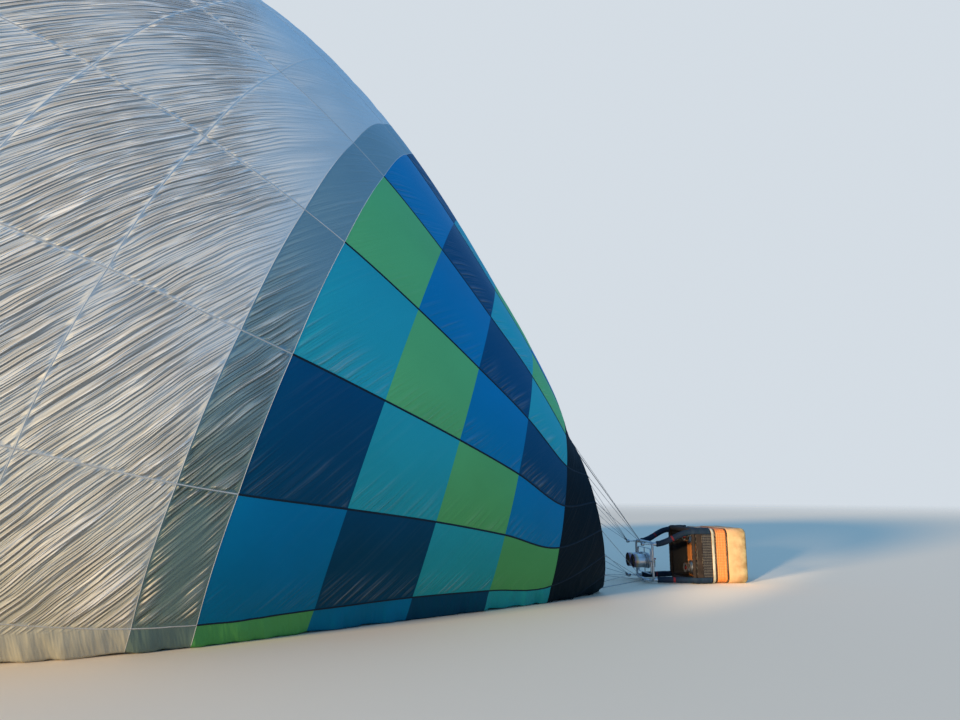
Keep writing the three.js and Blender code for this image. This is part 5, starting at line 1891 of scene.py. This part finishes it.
block_foot = frame_z - BLOCK_SIZE[2]
bolts = [((x, 0, frame_z - BOLT_LENGTH), (x, 0, frame_z)) for x in (-BOLT_OUT, BOLT_OUT)]
block = join_pieces("valve_block", [
    turn_part("plate", raised(PLATE_OUTLINE, frame_z)),
    block_part("block", BLOCK_SIZE, (0, 0, frame_z - BLOCK_SIZE[2] / 2), 0.004, 0.016),
    *[rod_part("bolt", start, end, 0.008, 6) for start, end in bolts],
])
brass_parts = join_pieces("blast_valve", [
    turn_part("stem", raised(STEM_OUTLINE, block_foot), 20, (-0.022, 0.0)),
    rod_part("inlet", (0.050, 0.022, block_foot + 0.035), (0.078, 0.022, block_foot + 0.035), 0.013, 6),
    rod_part("inlet", (0.078, 0.022, block_foot + 0.035), (0.096, 0.022, block_foot + 0.035), 0.009, 20),
])
lever = block_part("blast_lever", (0.130, 0.020, 0.009), (-0.060, 0.0, block_foot - 0.028), 0.004)
knob = turn_part("pilot_knob", raised(KNOB_OUTLINE, block_foot), 18, (0.030, -0.024))
VALVE_PARTS = [(block, BURNER_METAL), (brass_parts, BRASS), (lever, BLACK_GRIP), (knob, RED_GRIP)]
for k, sign in ((1, -1), (2, 1)):
    for part, material in VALVE_PARTS:
        stands_for = [f"burner_body_{k}"] if part is block else []
        copy = placed_copy(part, f"{part.name}_{k}", FRAME_CENTRE[0], sign * BURNER_SPACING)
        finish_piece(copy, "burners", stands_for, [material])
for part, _ in VALVE_PARTS:
    bpy.data.objects.remove(part)
print("valve blocks: two, with levers and knobs")

# %% [markdown]
# Over each burner plate stands a can, a thin steel tube that shields the flame, with a rolled lip
# and a row of louvres that let air in. Inside it the fuel runs round in a coil and turns to gas. The
# coil is a small circle drawn round with the Screw modifier, which is how a spring is made as well.

# %% Burner cans
BURNER_PLATE = 0.012
CAN_RADIUS, CAN_WALL, CAN_LENGTH = 0.130, 0.004, 0.280
CAN_FOOT = FRAME_CENTRE[2] + BURNER_PLATE / 2 + 0.0006
CAN_SIDES = 48
LOUVRE_ROWS = (0.14, 0.24)
CAN_CUTS = (*LOUVRE_ROWS, 0.93)  # shares of its length where the can has an edge round it
LOUVRE_FRAME = 0.0022
LIP_INSET, LIP_WIRE = 0.0045, 0.004

can = start_shape(
    "can", bpy.ops.mesh.primitive_cylinder_add,
    vertices=CAN_SIDES, radius=CAN_RADIUS - 0.003, depth=CAN_LENGTH - 0.003, end_fill_type="NOTHING",
    location=(0, 0, CAN_FOOT + CAN_LENGTH / 2 - 0.002),
)
apply_place()
edit()
for share in CAN_CUTS:
    bpy.ops.mesh.select_all(action="SELECT")
    bpy.ops.mesh.bisect(plane_co=(0, 0, CAN_FOOT + CAN_LENGTH * share), plane_no=(0, 0, 1))
leave_edit()


def in_louvre(face):
    height = (face.center.z - CAN_FOOT) / CAN_LENGTH
    return LOUVRE_ROWS[0] < height < LOUVRE_ROWS[1] and face.index % 3 != 0


edit_faces(can, in_louvre)
bpy.ops.mesh.inset(thickness=LOUVRE_FRAME, use_individual=True)
bpy.ops.mesh.delete(type="FACE")
leave_edit()
apply_modifier(can, "SOLIDIFY", thickness=CAN_WALL, offset=-1)
smooth_over()
lip_place = (0, 0, CAN_FOOT + CAN_LENGTH - LIP_INSET)
lip = ring_part("lip", CAN_RADIUS - LIP_INSET, LIP_WIRE, lip_place, segments=CAN_SIDES)
can = join_pieces("burner_can", [can, lip])
print("can:", len(can.data.polygons), "faces")

# %% Burner coils
COIL_RADIUS, COIL_TUBE, COIL_TURNS, COIL_PITCH = 0.098, 0.0088, 5, 0.046
COIL_FOOT = FRAME_CENTRE[2] + BURNER_PLATE / 2 + 0.0081
COIL_STEPS = 48

coil = start_shape(
    "coil", bpy.ops.mesh.primitive_circle_add,
    vertices=12, radius=COIL_TUBE, location=(COIL_RADIUS, 0, COIL_FOOT), rotation=UPRIGHT_SECTION,
)
apply_place()
turns = COIL_TURNS * COIL_STEPS
apply_modifier(
    coil, "SCREW", angle=COIL_TURNS * 2 * math.pi, screw_offset=COIL_TURNS * COIL_PITCH,
    steps=turns, render_steps=turns, use_merge_vertices=False,
)
edit()
face_outwards()
bpy.ops.object.shade_smooth()
print("coil:", len(coil.data.polygons), "faces, top at", round(max(v.co.z for v in coil.data.vertices), 3))

# %% Burners in their places
for k, sign in ((1, -1), (2, 1)):
    for part, name in ((can, "can"), (coil, "coil")):
        copy = placed_copy(part, f"{name}_{k}", FRAME_CENTRE[0], sign * BURNER_SPACING)
        finish_piece(copy, "burners", [f"burner_{name}_{k}"], [BURNER_METAL])
for piece in (can, coil):
    bpy.data.objects.remove(piece)
print("burners: two cans and two coils")
